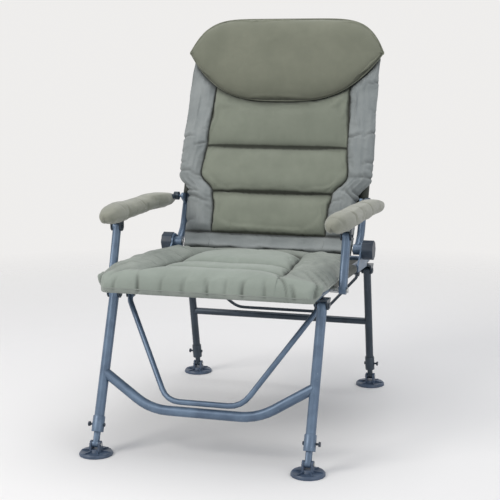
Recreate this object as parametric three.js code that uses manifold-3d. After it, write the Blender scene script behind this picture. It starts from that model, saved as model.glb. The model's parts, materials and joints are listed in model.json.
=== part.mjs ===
// Folding carp fishing chair with a reclining back, drop-down armrests, four telescopic legs on
// swivelling mud feet, and two folding leg frames that are each braced by a U-shaped bail.
//
// Units are millimetres and +Z is up. The sitter faces -Y, and +X is to the right for someone who
// looks at the chair from the front. The origin is on the floor, in the middle of the chair's box.
import * as THREE from 'three';
import { mergeVertices } from 'three/addons/utils/BufferGeometryUtils.js';
import Module from 'manifold-3d';

const wasm = await Module();
wasm.setup();

// Driving dimensions of the seat frame
const rail_half_spacing = 262;
const rail_radius = 11;
const rail_length = 640;
const rail_front_height = 407;
const rail_front_y = -290;
const rail_slope_deg = 1.8;
const running_gap = 0.3;
const cut_overrun = 2;

// Places along the side rail from its front end, insets from its rear end, and drops below its axis
const front_leg_along = 40;
const front_leg_drop = 28;
const front_bail_along = 95;
const front_bail_drop = 36;
const post_along = 110;
const hinge_inset = 132;
const hinge_rise = 45;
const rear_leg_inset = 20;
const rear_leg_drop = 29;
const rear_bail_inset = 80;
const rear_bail_drop = 28;
const rail_tail = 40;
const hinge_along = rail_length - hinge_inset;
const rear_leg_along = rail_length - rear_leg_inset;
const rear_bail_along = rail_length - rear_bail_inset;

// Legs
const leg_outset = 7;
const leg_half_spacing = rail_half_spacing + leg_outset;
const foot_pivot_height = 26;
const front_leg_lean_deg = 21.6;
const front_leg_radius = 12.5;
const front_inner_radius = 8.4;
const front_inner_show = 30;
const rear_leg_lean_deg = 12.5;
const rear_leg_radius = 11;
const rear_inner_radius = 7.4;
const rear_inner_show = 24;
const leg_extension = 100;
const leg_insertion = 80;
const collar_length = 40;
const collar_wall = 2.4;
const collar_lip = 6;
const lock_pin_radius = 2.8;
const lock_pin_head_radius = 6;
const lock_pin_head_length = 4;
const lock_pin_rivet_radius = 4.6;
const lock_pin_rivet_length = 2;
const lock_pin_travel = 6;
const lock_pin_above_mouth = 18;

// Cross tubes and bails
const front_cross_radius = 12.5;
const front_cross_join = 199;
const front_cross_drop = 282;
const front_cross_flat_half = 137;
const front_cross_bend = 46;
const rear_bar_radius = 10;
const rear_bar_drop = 162;
const front_bail_radius = 7;
const front_bail_clear = 5;
const front_bail_flat_half = 95;
const front_bail_bend = 34;
const rear_bail_radius = 4.5;
const rear_bail_clear = 5;
const rear_bail_flat_half = 132;
const rear_bail_bend = 22;
const rear_bail_tilt_deg = 20;
const bail_eye_share = 1.3;
const bail_neck = 18;

// Brackets, rivets and the recliner
const bracket_plate = 3.5;
const bracket_reach = 22;
const rivet_radius = 4;
const rivet_head_radius = 7;
const rivet_head_length = 2.5;
const recliner_plate_thickness = 4;
const recliner_disc_radius = 24;
const recliner_foot_half = 62;
const recliner_bolt_radius = 5;
const recliner_bolt_head_radius = 9;
const knob_radius = 27;
const knob_length = 30;
const knob_lobes = 8;
const knob_lobe_depth = 2.4;
const hinge_eye_radius = 15;

// Backrest, measured up from the hinge: its tubes step back just above the hinge
const back_lean_deg = 22;
const back_tube_height = 612;
const back_tube_bend = 92;
const back_tube_setback = 28;
const back_joggle_height = 46;
const back_joggle_bend = 18;
const back_cross_height = 96;
const back_cross_radius = 9;
const back_lug_plate = 6;
const sling_thickness = 3;
const back_cushion_from = 66;
const back_cushion_to = 600;
const back_overhang = 26;
const back_half_width = rail_half_spacing + back_overhang;
const back_panel_half_width = 216;
const back_cushion_thickness = 36;
const back_tucked_thickness = 13;
const back_tuck = 50;
const back_seam_depth = 22;
const back_seam_spread = 12;
const headrest_end_height = 573;
const headrest_top_rise = 105;
const headrest_low_drop = 146;
const headrest_overhang = 28;
const headrest_half_width = rail_half_spacing + headrest_overhang;
const headrest_thickness = 46;
const band_from = -6;
const band_thickness = 30;

// Armrests, a parallelogram with the seat rail and the backrest
const arm_link_forward = 40;
const arm_link_rise = 128;
const post_radius = 11;
const post_standoff = 19.7;
const post_spacer_radius = 8;
const arm_tube_radius = 8;
const arm_tube_bend = 40;
const arm_front_rise = 36;
const arm_rear_rise = -6;
const arm_lug_plate = 3;
const arm_lug_radius = 12;
const arm_eye_radius = 12;
const arm_eye_standoff = 1;
const arm_pad_half_width = 29;
const arm_pad_front = 120;
const arm_pad_rear = 34;
const arm_pad_half_height = 24;
const arm_pad_above_tube = 4;
const arm_pad_rear_drop = 3;
const arm_pad_toe_in = 14;
const pivot_pin_radius = 4;
const arm_half_spacing = rail_half_spacing + rail_radius + running_gap + post_standoff + post_radius;

// Seat cushion
const seat_front_reach = 56;
const seat_rear_stop = 22;
const seat_thickness = 34;
const seat_side_clear = 1;
const seat_half_width = arm_half_spacing - post_radius - seat_side_clear;
const seat_panel_half_width = 176;
const seat_seam_depth = 15;
const seat_seam_spread = 12;
const seat_seam_bows = [4, 10, 70];
const seat_lip_drop = 24;

// Mud feet
const foot_radius = 42;
const foot_rim_height = 5;
const foot_hub_radius = 17;
const foot_hub_height = 14;
const foot_ear_thickness = 5;
const foot_ear_rise = 10;
const foot_ribs = 6;
const foot_rib_thickness = 3.5;
const foot_pin_radius = 3;
const foot_dish_depth = 3;

const rad = THREE.MathUtils.degToRad;
const sides = [['left', -1], ['right', 1]];

// Materials
const finish = (color, roughness, metalness) => ({ color, roughness, metalness });
const steel_blue = finish(0x4a5f7a, 0.4, 0.6);
const steel_dark = finish(0x343f4a, 0.45, 0.55);
const steel_bright = finish(0xc4c8cc, 0.3, 0.9);
const black_plastic = finish(0x23282e, 0.55, 0);
const foot_plastic = finish(0x5c6c80, 0.5, 0);
const olive_panel = finish(0x80867e, 0.95, 0);
const olive_dark = finish(0x737769, 0.95, 0);
const border_cloth = finish(0x94989a, 0.75, 0);
const arm_cloth = finish(0x9c9d92, 0.95, 0);
const sling_cloth = finish(0x3b4038, 0.9, 0);

const chair = new THREE.Group();

function add(name, geometry, look, parent = chair) {
  const mesh = new THREE.Mesh(geometry, new THREE.MeshStandardMaterial(look));
  mesh.name = name;
  parent.add(mesh);
  return mesh;
}

// Solids from three.js geometry, joined and cut
function solid(geometry) {
  const bare = geometry.clone();
  bare.deleteAttribute('normal');
  bare.deleteAttribute('uv');
  const merged = mergeVertices(bare, 1e-4);
  return new wasm.Manifold(new wasm.Mesh({
    numProp: 3,
    vertProperties: new Float32Array(merged.attributes.position.array),
    triVerts: new Uint32Array(merged.index.array),
  }));
}

function back_to_geometry(manifold) {
  const mesh = manifold.getMesh();
  const geometry = new THREE.BufferGeometry();
  const places = [];
  for (let i = 0; i < mesh.vertProperties.length; i += mesh.numProp) {
    places.push(mesh.vertProperties[i], mesh.vertProperties[i + 1], mesh.vertProperties[i + 2]);
  }
  geometry.setAttribute('position', new THREE.Float32BufferAttribute(places, 3));
  geometry.setIndex(Array.from(mesh.triVerts));
  const flat = geometry.toNonIndexed();
  flat.computeVertexNormals();
  return flat;
}

const join = (...pieces) => back_to_geometry(pieces.map(solid).reduce((a, b) => a.add(b)));
const cut = (piece, ...tools) => back_to_geometry(
  tools.map(solid).reduce((body, tool) => body.subtract(tool), solid(piece)));

// A straight round bar between two points
function bar(from, to, radius, segments = 14) {
  const along = new THREE.Vector3().subVectors(to, from);
  const geometry = new THREE.CylinderGeometry(radius, radius, along.length(), segments);
  const turn = new THREE.Quaternion().setFromUnitVectors(new THREE.Vector3(0, 1, 0), along.clone().normalize());
  geometry.applyQuaternion(turn);
  const middle = new THREE.Vector3().addVectors(from, to).multiplyScalar(0.5);
  return geometry.translate(middle.x, middle.y, middle.z);
}

// A bar along X at (y, z)
const cross_bar = (x_from, x_to, y, z, radius, segments = 10) => bar(
  new THREE.Vector3(x_from, y, z), new THREE.Vector3(x_to, y, z), radius, segments);

// A route that is sampled only where its points are, so that straight stretches stay one step long
class Route extends THREE.Curve {
  constructor(points) {
    super();
    this.points = points;
  }

  index_at(share) {
    return Math.round(share * (this.points.length - 1));
  }

  getPoint(share) {
    return this.points[this.index_at(share)].clone();
  }

  getPointAt(share) {
    return this.getPoint(share);
  }

  getTangentAt(share) {
    const i = this.index_at(share);
    const before = this.points[Math.max(0, i - 1)];
    const after = this.points[Math.min(this.points.length - 1, i + 1)];
    return new THREE.Vector3().subVectors(after, before).normalize();
  }
}

// A bent tube through corner points: each corner is rounded by one bend, or by its own from a list
function bent_tube(corners, radius, bends, bend_steps = 6, segments = 12) {
  const points = [corners[0]];
  for (let i = 1; i < corners.length - 1; i += 1) {
    const corner = corners[i];
    const before = new THREE.Vector3().subVectors(corners[i - 1], corner).normalize();
    const after = new THREE.Vector3().subVectors(corners[i + 1], corner).normalize();
    const bend = Array.isArray(bends) ? bends[i - 1] : bends;
    const steps = Array.isArray(bend_steps) ? bend_steps[i - 1] : bend_steps;
    const curve_in = corner.clone().addScaledVector(before, bend);
    const curve_out = corner.clone().addScaledVector(after, bend);
    points.push(...new THREE.QuadraticBezierCurve3(curve_in, corner, curve_out).getPoints(steps));
  }
  points.push(corners[corners.length - 1]);
  const section = new THREE.Shape();
  for (let i = 0; i < segments; i += 1) {
    const angle = (2 * Math.PI * i) / segments;
    const [px, py] = [radius * Math.cos(angle), radius * Math.sin(angle)];
    if (i === 0) section.moveTo(px, py);
    else section.lineTo(px, py);
  }
  const settings = { steps: points.length - 1, extrudePath: new Route(points), bevelEnabled: false };
  return new THREE.ExtrudeGeometry(section, settings);
}

// A flat plate drawn in the side view, with Y to the right and Z up, and its thickness along X
const side_axes = new THREE.Matrix4().makeBasis(
  new THREE.Vector3(0, 1, 0), new THREE.Vector3(0, 0, 1), new THREE.Vector3(1, 0, 0));
function side_plate(shape, x_low, thickness, curve_segments = 5) {
  const settings = { depth: thickness, bevelEnabled: false, curveSegments: curve_segments };
  const geometry = new THREE.ExtrudeGeometry(shape, settings);
  return geometry.applyMatrix4(side_axes).translate(x_low, 0, 0);
}

const box = (x_size, y_size, z_size, x, y, z) => new THREE.BoxGeometry(x_size, y_size, z_size)
  .translate(x, y, z);

// A turned piece about the local Z axis, from [radius, height] pairs
function turned(profile, segments = 12) {
  const points = profile.map(([radius, height]) => new THREE.Vector2(radius, height));
  return new THREE.LatheGeometry(points, segments).rotateX(Math.PI / 2);
}

// A point of the side view, given along the rail from its front end and up from its axis
const rail_slope = rad(rail_slope_deg);
function rail_point(along, rise) {
  return {
    y: rail_front_y + along * Math.cos(rail_slope) + rise * Math.sin(rail_slope),
    z: rail_front_height - along * Math.sin(rail_slope) + rise * Math.cos(rail_slope),
  };
}

function group_at(point, turn_x = 0) {
  const group = new THREE.Group();
  group.position.set(0, point.y, point.z);
  group.rotation.x = turn_x;
  chair.add(group);
  return group;
}

// Seat frame: two side rails with a front and a rear cross tube between them
const rail_group = group_at(rail_point(0, 0), -rail_slope);
const rail_inner = rail_half_spacing - rail_radius - running_gap;
for (const [side, sign] of sides) {
  const rail = bar(
    new THREE.Vector3(sign * rail_half_spacing, -rail_radius, 0),
    new THREE.Vector3(sign * rail_half_spacing, rail_length, 0), rail_radius);
  const bolt_hole = cross_bar(sign * (rail_half_spacing - rail_radius - cut_overrun),
    sign * (rail_half_spacing + rail_radius + cut_overrun), post_along, 0, pivot_pin_radius + running_gap);
  add(`seat_rail_${side}`, cut(rail, bolt_hole), steel_blue, rail_group);
}
const rail_end_cut = (y) => [-1, 1].map((sign) => bar(
  new THREE.Vector3(sign * rail_half_spacing, y - rail_radius * 3, 0),
  new THREE.Vector3(sign * rail_half_spacing, y + rail_radius * 3, 0), rail_radius + running_gap));
for (const [name, along] of [['seat_front_tube', 0], ['seat_rear_tube', rail_length - rail_tail / 2]]) {
  const tube = cross_bar(-rail_half_spacing, rail_half_spacing, along, 0, rail_radius);
  add(name, cut(tube, ...rail_end_cut(along)), steel_blue, rail_group);
}

// Seat sling, a taut sheet between the four tubes
const sling_to = rail_length - rail_tail / 2 - rail_radius - running_gap;
{
  const sheet = new THREE.BoxGeometry(
    2 * rail_inner, sling_to - rail_radius - running_gap, sling_thickness);
  sheet.translate(0, (sling_to + rail_radius + running_gap) / 2, 0);
  add('seat_sling', sheet, sling_cloth, rail_group);
}

// A padded solid on a grid: across runs from -1 to 1, along is a place, and both faces meet at the rim
function padded(across, along, place) {
  const faces = [1, -1];
  const points = [];
  const index = [];
  const columns = across.length;
  const rows = along.length;
  const grid = faces.map((face) => along.map((v, j) => across.map((u, i) => {
    const rim = i === 0 || j === 0 || i === columns - 1 || j === rows - 1;
    if (face === -1 && rim) return null;
    points.push(...place(u, v, rim ? 0 : face));
    return points.length / 3 - 1;
  })));
  for (let j = 0; j < rows; j += 1) {
    for (let i = 0; i < columns; i += 1) grid[1][j][i] ??= grid[0][j][i];
  }
  for (const [k, layer] of grid.entries()) {
    for (let j = 0; j < rows - 1; j += 1) {
      for (let i = 0; i < columns - 1; i += 1) {
        const [a, b] = [layer[j][i], layer[j][i + 1]];
        const [c, d] = [layer[j + 1][i + 1], layer[j + 1][i]];
        if (k === 0) index.push(a, b, c, a, c, d);
        else index.push(a, c, b, a, d, c);
      }
    }
  }
  const geometry = new THREE.BufferGeometry();
  geometry.setAttribute('position', new THREE.Float32BufferAttribute(points, 3));
  geometry.setIndex(index);
  const flat = geometry.toNonIndexed();
  flat.computeVertexNormals();
  return flat;
}

// Places between two ends, closer together near both ends, with given marks in place of near ones
function stations(from, to, count, marks, clear) {
  const places = [];
  for (let i = 0; i <= count; i += 1) {
    places.push(from + ((to - from) * (1 - Math.cos((Math.PI * i) / count))) / 2);
  }
  const kept = places.filter((p, i) => i === 0 || i === count
    || marks.every((mark) => Math.abs(p - mark) > clear));
  return [...kept, ...marks].sort((a, b) => a - b);
}

// A seam and both sides of its groove
const groove = (seam, spread) => [seam - spread, seam, seam + spread];

const dip = (offset, spread) => Math.exp(-((offset / spread) ** 2));
const rounded = (share, power) => Math.sqrt(Math.max(0, 1 - Math.abs(share) ** power));

// The underside of a cushion stays flat nearly to its edge, so that it rests on the tubes
const under_power = 40;

// A smooth curve through [place, value] pairs
function through(pairs) {
  return (place) => {
    let i = 1;
    while (i < pairs.length - 1 && place > pairs[i][0]) i += 1;
    const [[p0, v0], [p1, v1]] = [pairs[i - 1], pairs[i]];
    const share = THREE.MathUtils.clamp((place - p0) / (p1 - p0), 0, 1);
    return v0 + (v1 - v0) * share * share * (3 - 2 * share);
  };
}

// A table of shares along a length and of a size, as a smooth curve in real sizes
const follow = (shares, from, to, size) => through(
  shares.map(([along_share, size_share]) => [from + (to - from) * along_share, size * size_share]));

// Seat cushion: channels inside a gathered border, a rear seam that bows back, and a front lip
const seat_front = -seat_front_reach;
const seat_rear = hinge_along - seat_rear_stop;
const seat_depth = seat_rear - seat_front;
const seat_width_shares = [[0, 0.9], [0.07, 0.985], [0.15, 1], [0.31, 0.99], [0.66, 0.965], [0.85, 0.9],
  [1, 0.82]];
const seat_panel_shares = [[0, 1], [0.16, 0.975], [0.34, 0.92], [0.58, 0.84], [0.9, 0.784], [1, 0.77]];
const seat_thickness_shares = [[0, 1], [0.88, 1], [1, 0.62]];
const seat_seam_shares = [0.225, 0.45, 0.906];
const seat_width_at = follow(seat_width_shares, seat_front, seat_rear, seat_half_width);
const seat_panel_at = follow(seat_panel_shares, seat_front, seat_rear, seat_panel_half_width);
const seat_thickness_at = follow(seat_thickness_shares, seat_front, seat_rear, seat_thickness);
const seat_seams = seat_seam_shares.map((share) => seat_front + seat_depth * share);
const seat_last_seam = seat_seams[seat_seams.length - 1];
const seat_bow_at = through([[0, 0], ...seat_seams.map((seam, i) => [seam, seat_seam_bows[i]]),
  [seat_rear, 0]]);
const seat_base = rail_radius + running_gap;
{
  const across_shares = [-1, -0.985, -0.94, -0.86, -0.76, -0.66, -0.58, -0.5, -0.25, 0, 0.25, 0.5,
    0.58, 0.66, 0.76, 0.86, 0.94, 0.985, 1];
  const lip_from = -2 * rail_radius;
  const lip_to = lip_from - seat_front_reach * 0.25;
  const marks = [lip_to, lip_from, ...seat_seams.flatMap((seam) => groove(seam, seat_seam_spread))];
  const along = stations(seat_front, seat_rear, 13, marks, seat_seam_spread / 2);
  const place = (u, v, face) => {
    const share = (2 * (v - seat_front)) / seat_depth - 1;
    const x = u * seat_width_at(v);
    const panel = seat_panel_at(v);
    const y = v - seat_bow_at(v) * Math.min(1, Math.abs(x) / panel) ** 2;
    const edge = rounded(u, 8) * rounded(share, 9);
    const lip = seat_lip_drop * THREE.MathUtils.clamp((y - lip_from) / (lip_to - lip_from), 0, 1);
    const thickness = seat_thickness_at(v);
    const rim = seat_base + thickness * 0.42 - lip * 0.45;
    if (face === 0) return [x, y, rim];
    const under_edge = rounded(u, under_power) * rounded(share, under_power);
    if (face < 0) return [x, y, rim + (seat_base - lip - rim) * under_edge];
    const channels = seat_seams.reduce((sum, seam) => sum + dip(v - seam, seat_seam_spread), 0);
    const border = v < seat_last_seam ? dip(Math.abs(x) - panel, seat_seam_spread) : 0;
    const inside = Math.abs(x) < panel ? channels : 0;
    const crown = thickness * (1 + 0.1 * (1 - u * u));
    const sewn = seat_seam_depth * Math.min(1, inside + border);
    return [x, y, rim + (seat_base + crown - sewn - rim) * edge];
  };
  add('seat_cushion', padded(across_shares, along, place), border_cloth, rail_group);
}

// Brackets: an inverted channel under each rail, with the rivets that a leg and its bail turn on
function bracket(name, side, sign, leg_along, leg_drop, bail_along, bail_drop, leg_radius, bail_radius) {
  const inner_face = leg_half_spacing - leg_radius - running_gap;
  const outer_face = leg_half_spacing + leg_radius + running_gap;
  const roof = -rail_radius - running_gap;
  const cheek = (places) => {
    const shape = new THREE.Shape();
    const first = Math.min(...places.map(([along]) => along)) - bracket_reach;
    const last = Math.max(...places.map(([along]) => along)) + bracket_reach;
    shape.moveTo(first, roof);
    shape.lineTo(last, roof);
    const ordered = [...places].sort((a, b) => b[0] - a[0]);
    for (const [along, drop] of ordered) {
      shape.absarc(along, -drop, rivet_head_radius + bracket_plate, 0, -Math.PI, true);
    }
    shape.closePath();
    return shape;
  };
  const mirrored = (x, thickness) => (sign > 0 ? x : -x - thickness);
  const pieces = [
    side_plate(cheek([[leg_along, leg_drop], [bail_along, bail_drop]]),
      mirrored(inner_face - bracket_plate, bracket_plate), bracket_plate),
    side_plate(cheek([[leg_along, leg_drop]]), mirrored(outer_face, bracket_plate), bracket_plate),
  ];
  const roof_plate = new THREE.Shape();
  roof_plate.moveTo(leg_along - bracket_reach, roof);
  roof_plate.lineTo(leg_along + bracket_reach, roof);
  roof_plate.lineTo(leg_along + bracket_reach, roof - bracket_plate);
  roof_plate.lineTo(leg_along - bracket_reach, roof - bracket_plate);
  roof_plate.closePath();
  pieces.push(side_plate(roof_plate, mirrored(inner_face - bracket_plate, outer_face - inner_face
    + 2 * bracket_plate), outer_face - inner_face + 2 * bracket_plate));
  const leg_pin_in = inner_face - bracket_plate - rivet_head_length;
  const leg_pin_out = outer_face + bracket_plate + rivet_head_length;
  pieces.push(cross_bar(sign * leg_pin_in, sign * leg_pin_out, leg_along, -leg_drop, rivet_radius));
  for (const [from, to] of [[leg_pin_in, leg_pin_in + rivet_head_length],
    [leg_pin_out - rivet_head_length, leg_pin_out]]) {
    pieces.push(cross_bar(sign * from, sign * to, leg_along, -leg_drop, rivet_head_radius));
  }
  const bail_inner = inner_face - bracket_plate - running_gap * 2 - 2 * bail_radius - rivet_head_length;
  pieces.push(cross_bar(sign * bail_inner, sign * (inner_face - bracket_plate + cut_overrun / 2),
    bail_along, -bail_drop, rivet_radius * 0.75));
  pieces.push(cross_bar(sign * bail_inner, sign * (bail_inner + rivet_head_length),
    bail_along, -bail_drop, rivet_head_radius * 0.9));
  add(`${name}_bracket_${side}`, join(...pieces), steel_dark, rail_group);
}
for (const [side, sign] of sides) {
  bracket('front', side, sign, front_leg_along, front_leg_drop, front_bail_along, front_bail_drop,
    front_leg_radius, front_bail_radius);
  bracket('rear', side, sign, rear_leg_along, rear_leg_drop, rear_bail_along, rear_bail_drop,
    rear_leg_radius, rear_bail_radius);
}

// Recliner: an upright plate on the outside of each rail, a through bolt and a clamping knob
const plate_face = rail_half_spacing + rail_radius + running_gap;
const plate_outer = plate_face + recliner_plate_thickness;
for (const [side, sign] of sides) {
  const shape = new THREE.Shape();
  shape.moveTo(hinge_along - recliner_foot_half, -rail_radius * 0.8);
  shape.lineTo(hinge_along + recliner_foot_half, -rail_radius * 0.8);
  shape.lineTo(hinge_along + recliner_foot_half, rail_radius * 0.8);
  shape.absarc(hinge_along, hinge_rise, recliner_disc_radius, 0, Math.PI, false);
  shape.lineTo(hinge_along - recliner_foot_half, rail_radius * 0.8);
  shape.closePath();
  const hole = cross_bar(sign * (plate_face - cut_overrun), sign * (plate_outer + cut_overrun),
    hinge_along, hinge_rise, recliner_bolt_radius + running_gap);
  const x_low = sign > 0 ? plate_face : -plate_outer;
  add(`recliner_plate_${side}`, cut(side_plate(shape, x_low, recliner_plate_thickness, 12), hole),
    steel_blue, rail_group);
  const bolt_in = rail_half_spacing - rail_radius - running_gap - rivet_head_length;
  const bolt_out = plate_outer + knob_length * 0.5;
  add(`recliner_bolt_${side}`, join(
    cross_bar(sign * bolt_in, sign * bolt_out, hinge_along, hinge_rise, recliner_bolt_radius),
    cross_bar(sign * bolt_in, sign * (bolt_in + rivet_head_length), hinge_along, hinge_rise,
      recliner_bolt_head_radius)), steel_bright, rail_group);
  const outline = new THREE.Shape();
  const points = knob_lobes * 4;
  for (let i = 0; i < points; i += 1) {
    const angle = (2 * Math.PI * i) / points;
    const radius = knob_radius - knob_lobe_depth * (0.5 - 0.5 * Math.cos(knob_lobes * angle));
    const [y, z] = [hinge_along + radius * Math.cos(angle), hinge_rise + radius * Math.sin(angle)];
    if (i === 0) outline.moveTo(y, z);
    else outline.lineTo(y, z);
  }
  outline.closePath();
  const knob_from = plate_outer + running_gap;
  const knob_body = side_plate(outline, sign > 0 ? knob_from : -knob_from - knob_length, knob_length);
  const knob_bore = cross_bar(sign * (knob_from - cut_overrun), sign * (bolt_out + running_gap),
    hinge_along, hinge_rise, recliner_bolt_radius + running_gap);
  add(`recliner_knob_${side}`, cut(knob_body, knob_bore), black_plastic, rail_group);
}

// Backrest in its own frame: Z runs up the tubes from the hinge and -Y is the front
const hinge = rail_point(hinge_along, hinge_rise);
const back_group = group_at(hinge, -rad(back_lean_deg));
const arm_link = { y: arm_link_forward, z: arm_link_rise };
const lean_sin = Math.sin(rad(back_lean_deg));
const lean_cos = Math.cos(rad(back_lean_deg));
const arm_pivot_up = arm_link.y * lean_sin + arm_link.z * lean_cos;
const arm_pivot_ahead = arm_link.z * lean_sin - arm_link.y * lean_cos;
{
  const corner = (x, z, y = back_tube_setback) => new THREE.Vector3(x, y, z);
  const loop = bent_tube([
    corner(-rail_half_spacing, 0, 0), corner(-rail_half_spacing, back_joggle_height),
    corner(-rail_half_spacing, back_tube_height), corner(rail_half_spacing, back_tube_height),
    corner(rail_half_spacing, back_joggle_height), corner(rail_half_spacing, 0, 0)],
  rail_radius, [back_joggle_bend, back_tube_bend, back_tube_bend, back_joggle_bend], [2, 6, 6, 2]);
  const fittings = [];
  const holes = [];
  for (const [, sign] of sides) {
    const [inner, outer] = [rail_half_spacing - rail_radius, rail_half_spacing + rail_radius];
    fittings.push(cross_bar(sign * inner, sign * outer, 0, 0, hinge_eye_radius, 16));
    holes.push(cross_bar(sign * (inner - cut_overrun), sign * (outer + cut_overrun), 0, 0,
      recliner_bolt_radius + running_gap));
    // The stub that the armrest turns on stands on a lug ahead of the tube
    fittings.push(cross_bar(sign * (rail_half_spacing - back_lug_plate / 2), sign * (outer + arm_eye_radius),
      -arm_pivot_ahead, arm_pivot_up, pivot_pin_radius));
    const lug = new THREE.Shape();
    lug.moveTo(back_tube_setback, arm_pivot_up - arm_lug_radius * 1.5);
    lug.lineTo(back_tube_setback, arm_pivot_up + arm_lug_radius * 1.5);
    lug.absarc(-arm_pivot_ahead, arm_pivot_up, arm_lug_radius * 0.8, Math.PI / 2, Math.PI * 1.5, false);
    lug.closePath();
    fittings.push(side_plate(lug, sign * rail_half_spacing - back_lug_plate / 2, back_lug_plate));
  }
  add('back_frame', cut(join(loop, ...fittings), ...holes), steel_blue, back_group);
  const brace = cross_bar(-rail_half_spacing, rail_half_spacing, back_tube_setback, back_cross_height,
    back_cross_radius);
  const ends = [-1, 1].map((sign) => bar(
    corner(sign * rail_half_spacing, back_cross_height - rail_radius * 3),
    corner(sign * rail_half_spacing, back_cross_height + rail_radius * 3), rail_radius + running_gap));
  add('back_cross_tube', cut(brace, ...ends), steel_blue, back_group);
  const sling_low = back_cross_height + back_cross_radius + running_gap;
  const sling_high = back_tube_height - back_tube_bend;
  add('back_sling', box(2 * rail_inner, sling_thickness, sling_high - sling_low,
    0, back_tube_setback, (sling_high + sling_low) / 2), sling_cloth, back_group);
}

// The headrest's outline, from the line between its two ends
const headrest_round = { top: 7, low: 3.1 };
const headrest_end_share = 0.05;
const headrest_reach = (u, power) => Math.max(headrest_end_share, 1 - Math.abs(u) ** power);
const headrest_low_at = (x) => headrest_end_height
  - headrest_low_drop * headrest_reach(x / headrest_half_width, headrest_round.low);

// Back cushion: channels between gathered side borders that flare above the armrests. Its rows follow
// the headrest's lower edge, and it is pressed thin where the headrest covers it.
const back_width_shares = [[0, 0.868], [0.13, 0.875], [0.165, 0.885], [0.25, 1], [0.75, 0.98],
  [0.93, 0.972], [1, 0.91]];
const back_panel_shares = [[0, 0.769], [0.17, 0.81], [0.26, 1], [0.45, 0.965], [0.76, 0.926], [1, 0.9]];
const back_seam_shares = [0.165, 0.42];
const back_length = back_cushion_to - back_cushion_from;
const back_width_at = follow(back_width_shares, back_cushion_from, back_cushion_to, back_half_width);
const back_panel_at = follow(back_panel_shares, back_cushion_from, back_cushion_to, back_panel_half_width);
const back_seams = back_seam_shares.map((share) => back_cushion_from + back_length * share);
const back_last_seam = back_seams[back_seams.length - 1];
const headrest_lowest = headrest_low_at(0);
const back_swept_at = through([[back_last_seam, 0], [headrest_lowest, 1], [back_cushion_to, 0]]);
const back_fullness_at = through([[headrest_lowest - back_tuck, 1], [headrest_lowest, 0]]);
const back_rest = back_tube_setback - rail_radius - running_gap;
{
  const across_shares = [-1, -0.985, -0.94, -0.87, -0.79, -0.72, -0.64, -0.33, 0, 0.33,
    0.64, 0.72, 0.79, 0.87, 0.94, 0.985, 1];
  const marks = [...back_seams.flatMap((seam) => groove(seam, back_seam_spread)),
    headrest_lowest - back_tuck, headrest_lowest];
  const along = stations(back_cushion_from, back_cushion_to, 15, marks, back_seam_spread / 2);
  const place = (u, v, face) => {
    const share = (2 * (v - back_cushion_from)) / back_length - 1;
    const z = v + back_swept_at(v) * (headrest_low_at(u * back_half_width) - headrest_lowest);
    const x = u * back_width_at(z);
    const fullness = back_fullness_at(v);
    const thickness = back_tucked_thickness + (back_cushion_thickness - back_tucked_thickness) * fullness;
    const edge = rounded(u, 7) * rounded(share, 12);
    const rim = back_rest - thickness * 0.4;
    if (face === 0) return [x, rim, z];
    const under_edge = rounded(u, under_power) * rounded(share, under_power);
    if (face < 0) return [x, rim + (back_rest - rim) * under_edge, z];
    const panel = back_panel_at(z);
    const channels = back_seams.reduce((sum, seam) => sum + dip(v - seam, back_seam_spread), 0);
    const inside = Math.abs(x) < panel ? channels : 0;
    const border = dip(Math.abs(x) - panel, back_seam_spread);
    const sewn = back_seam_depth * fullness * Math.min(1, inside + border);
    const front = back_rest - thickness * (1 + 0.08 * (1 - u * u)) + sewn;
    return [x, rim + (front - rim) * edge, z];
  };
  add('back_cushion', padded(across_shares, along, place), olive_panel, back_group);
}

// Headrest: a fat half-moon pillow strapped over the top of the back cushion
{
  const across_shares = [-1, -0.985, -0.94, -0.86, -0.72, -0.5, -0.25, 0, 0.25, 0.5, 0.72, 0.86, 0.94,
    0.985, 1];
  const up_shares = [-1, -0.97, -0.88, -0.72, -0.5, -0.2, 0, 0.2, 0.5, 0.72, 0.88, 0.97, 1];
  const cushion_front = back_rest - back_tucked_thickness * 1.08 - running_gap;
  const place = (u, v, face) => {
    const reach = v < 0 ? headrest_low_drop * headrest_reach(u, headrest_round.low)
      : headrest_top_rise * headrest_reach(u, headrest_round.top);
    const x = u * headrest_half_width;
    const z = headrest_end_height + v * reach;
    const rim = cushion_front - headrest_thickness * 0.3;
    if (face === 0) return [x, rim, z];
    const edge = rounded(u, 3.2) * rounded(v, 2.8);
    const goal = face < 0 ? cushion_front : cushion_front - headrest_thickness;
    return [x, rim + (goal - rim) * edge, z];
  };
  add('headrest_cushion', padded(across_shares, up_shares, place), olive_dark, back_group);
}

// Lower band: the plain strip of cloth and wadding between the back cushion and the seat
{
  const across_shares = [-1, -0.97, -0.88, -0.6, 0, 0.6, 0.88, 0.97, 1];
  const up_shares = [-1, -0.9, -0.6, 0, 0.6, 0.9, 1];
  const half = (back_cushion_from - running_gap * 2 - band_from) / 2;
  const place = (u, v, face) => {
    const x = u * (rail_half_spacing - rail_radius - rivet_head_length - running_gap * 3);
    const z = band_from + half * (1 + v);
    const rim = back_rest - band_thickness * 0.5;
    const edge = rounded(u, 6) * rounded(v, 3);
    return [x, rim - face * band_thickness * 0.5 * edge, z];
  };
  add('back_lower_band', padded(across_shares, up_shares, place), border_cloth, back_group);
}

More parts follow.
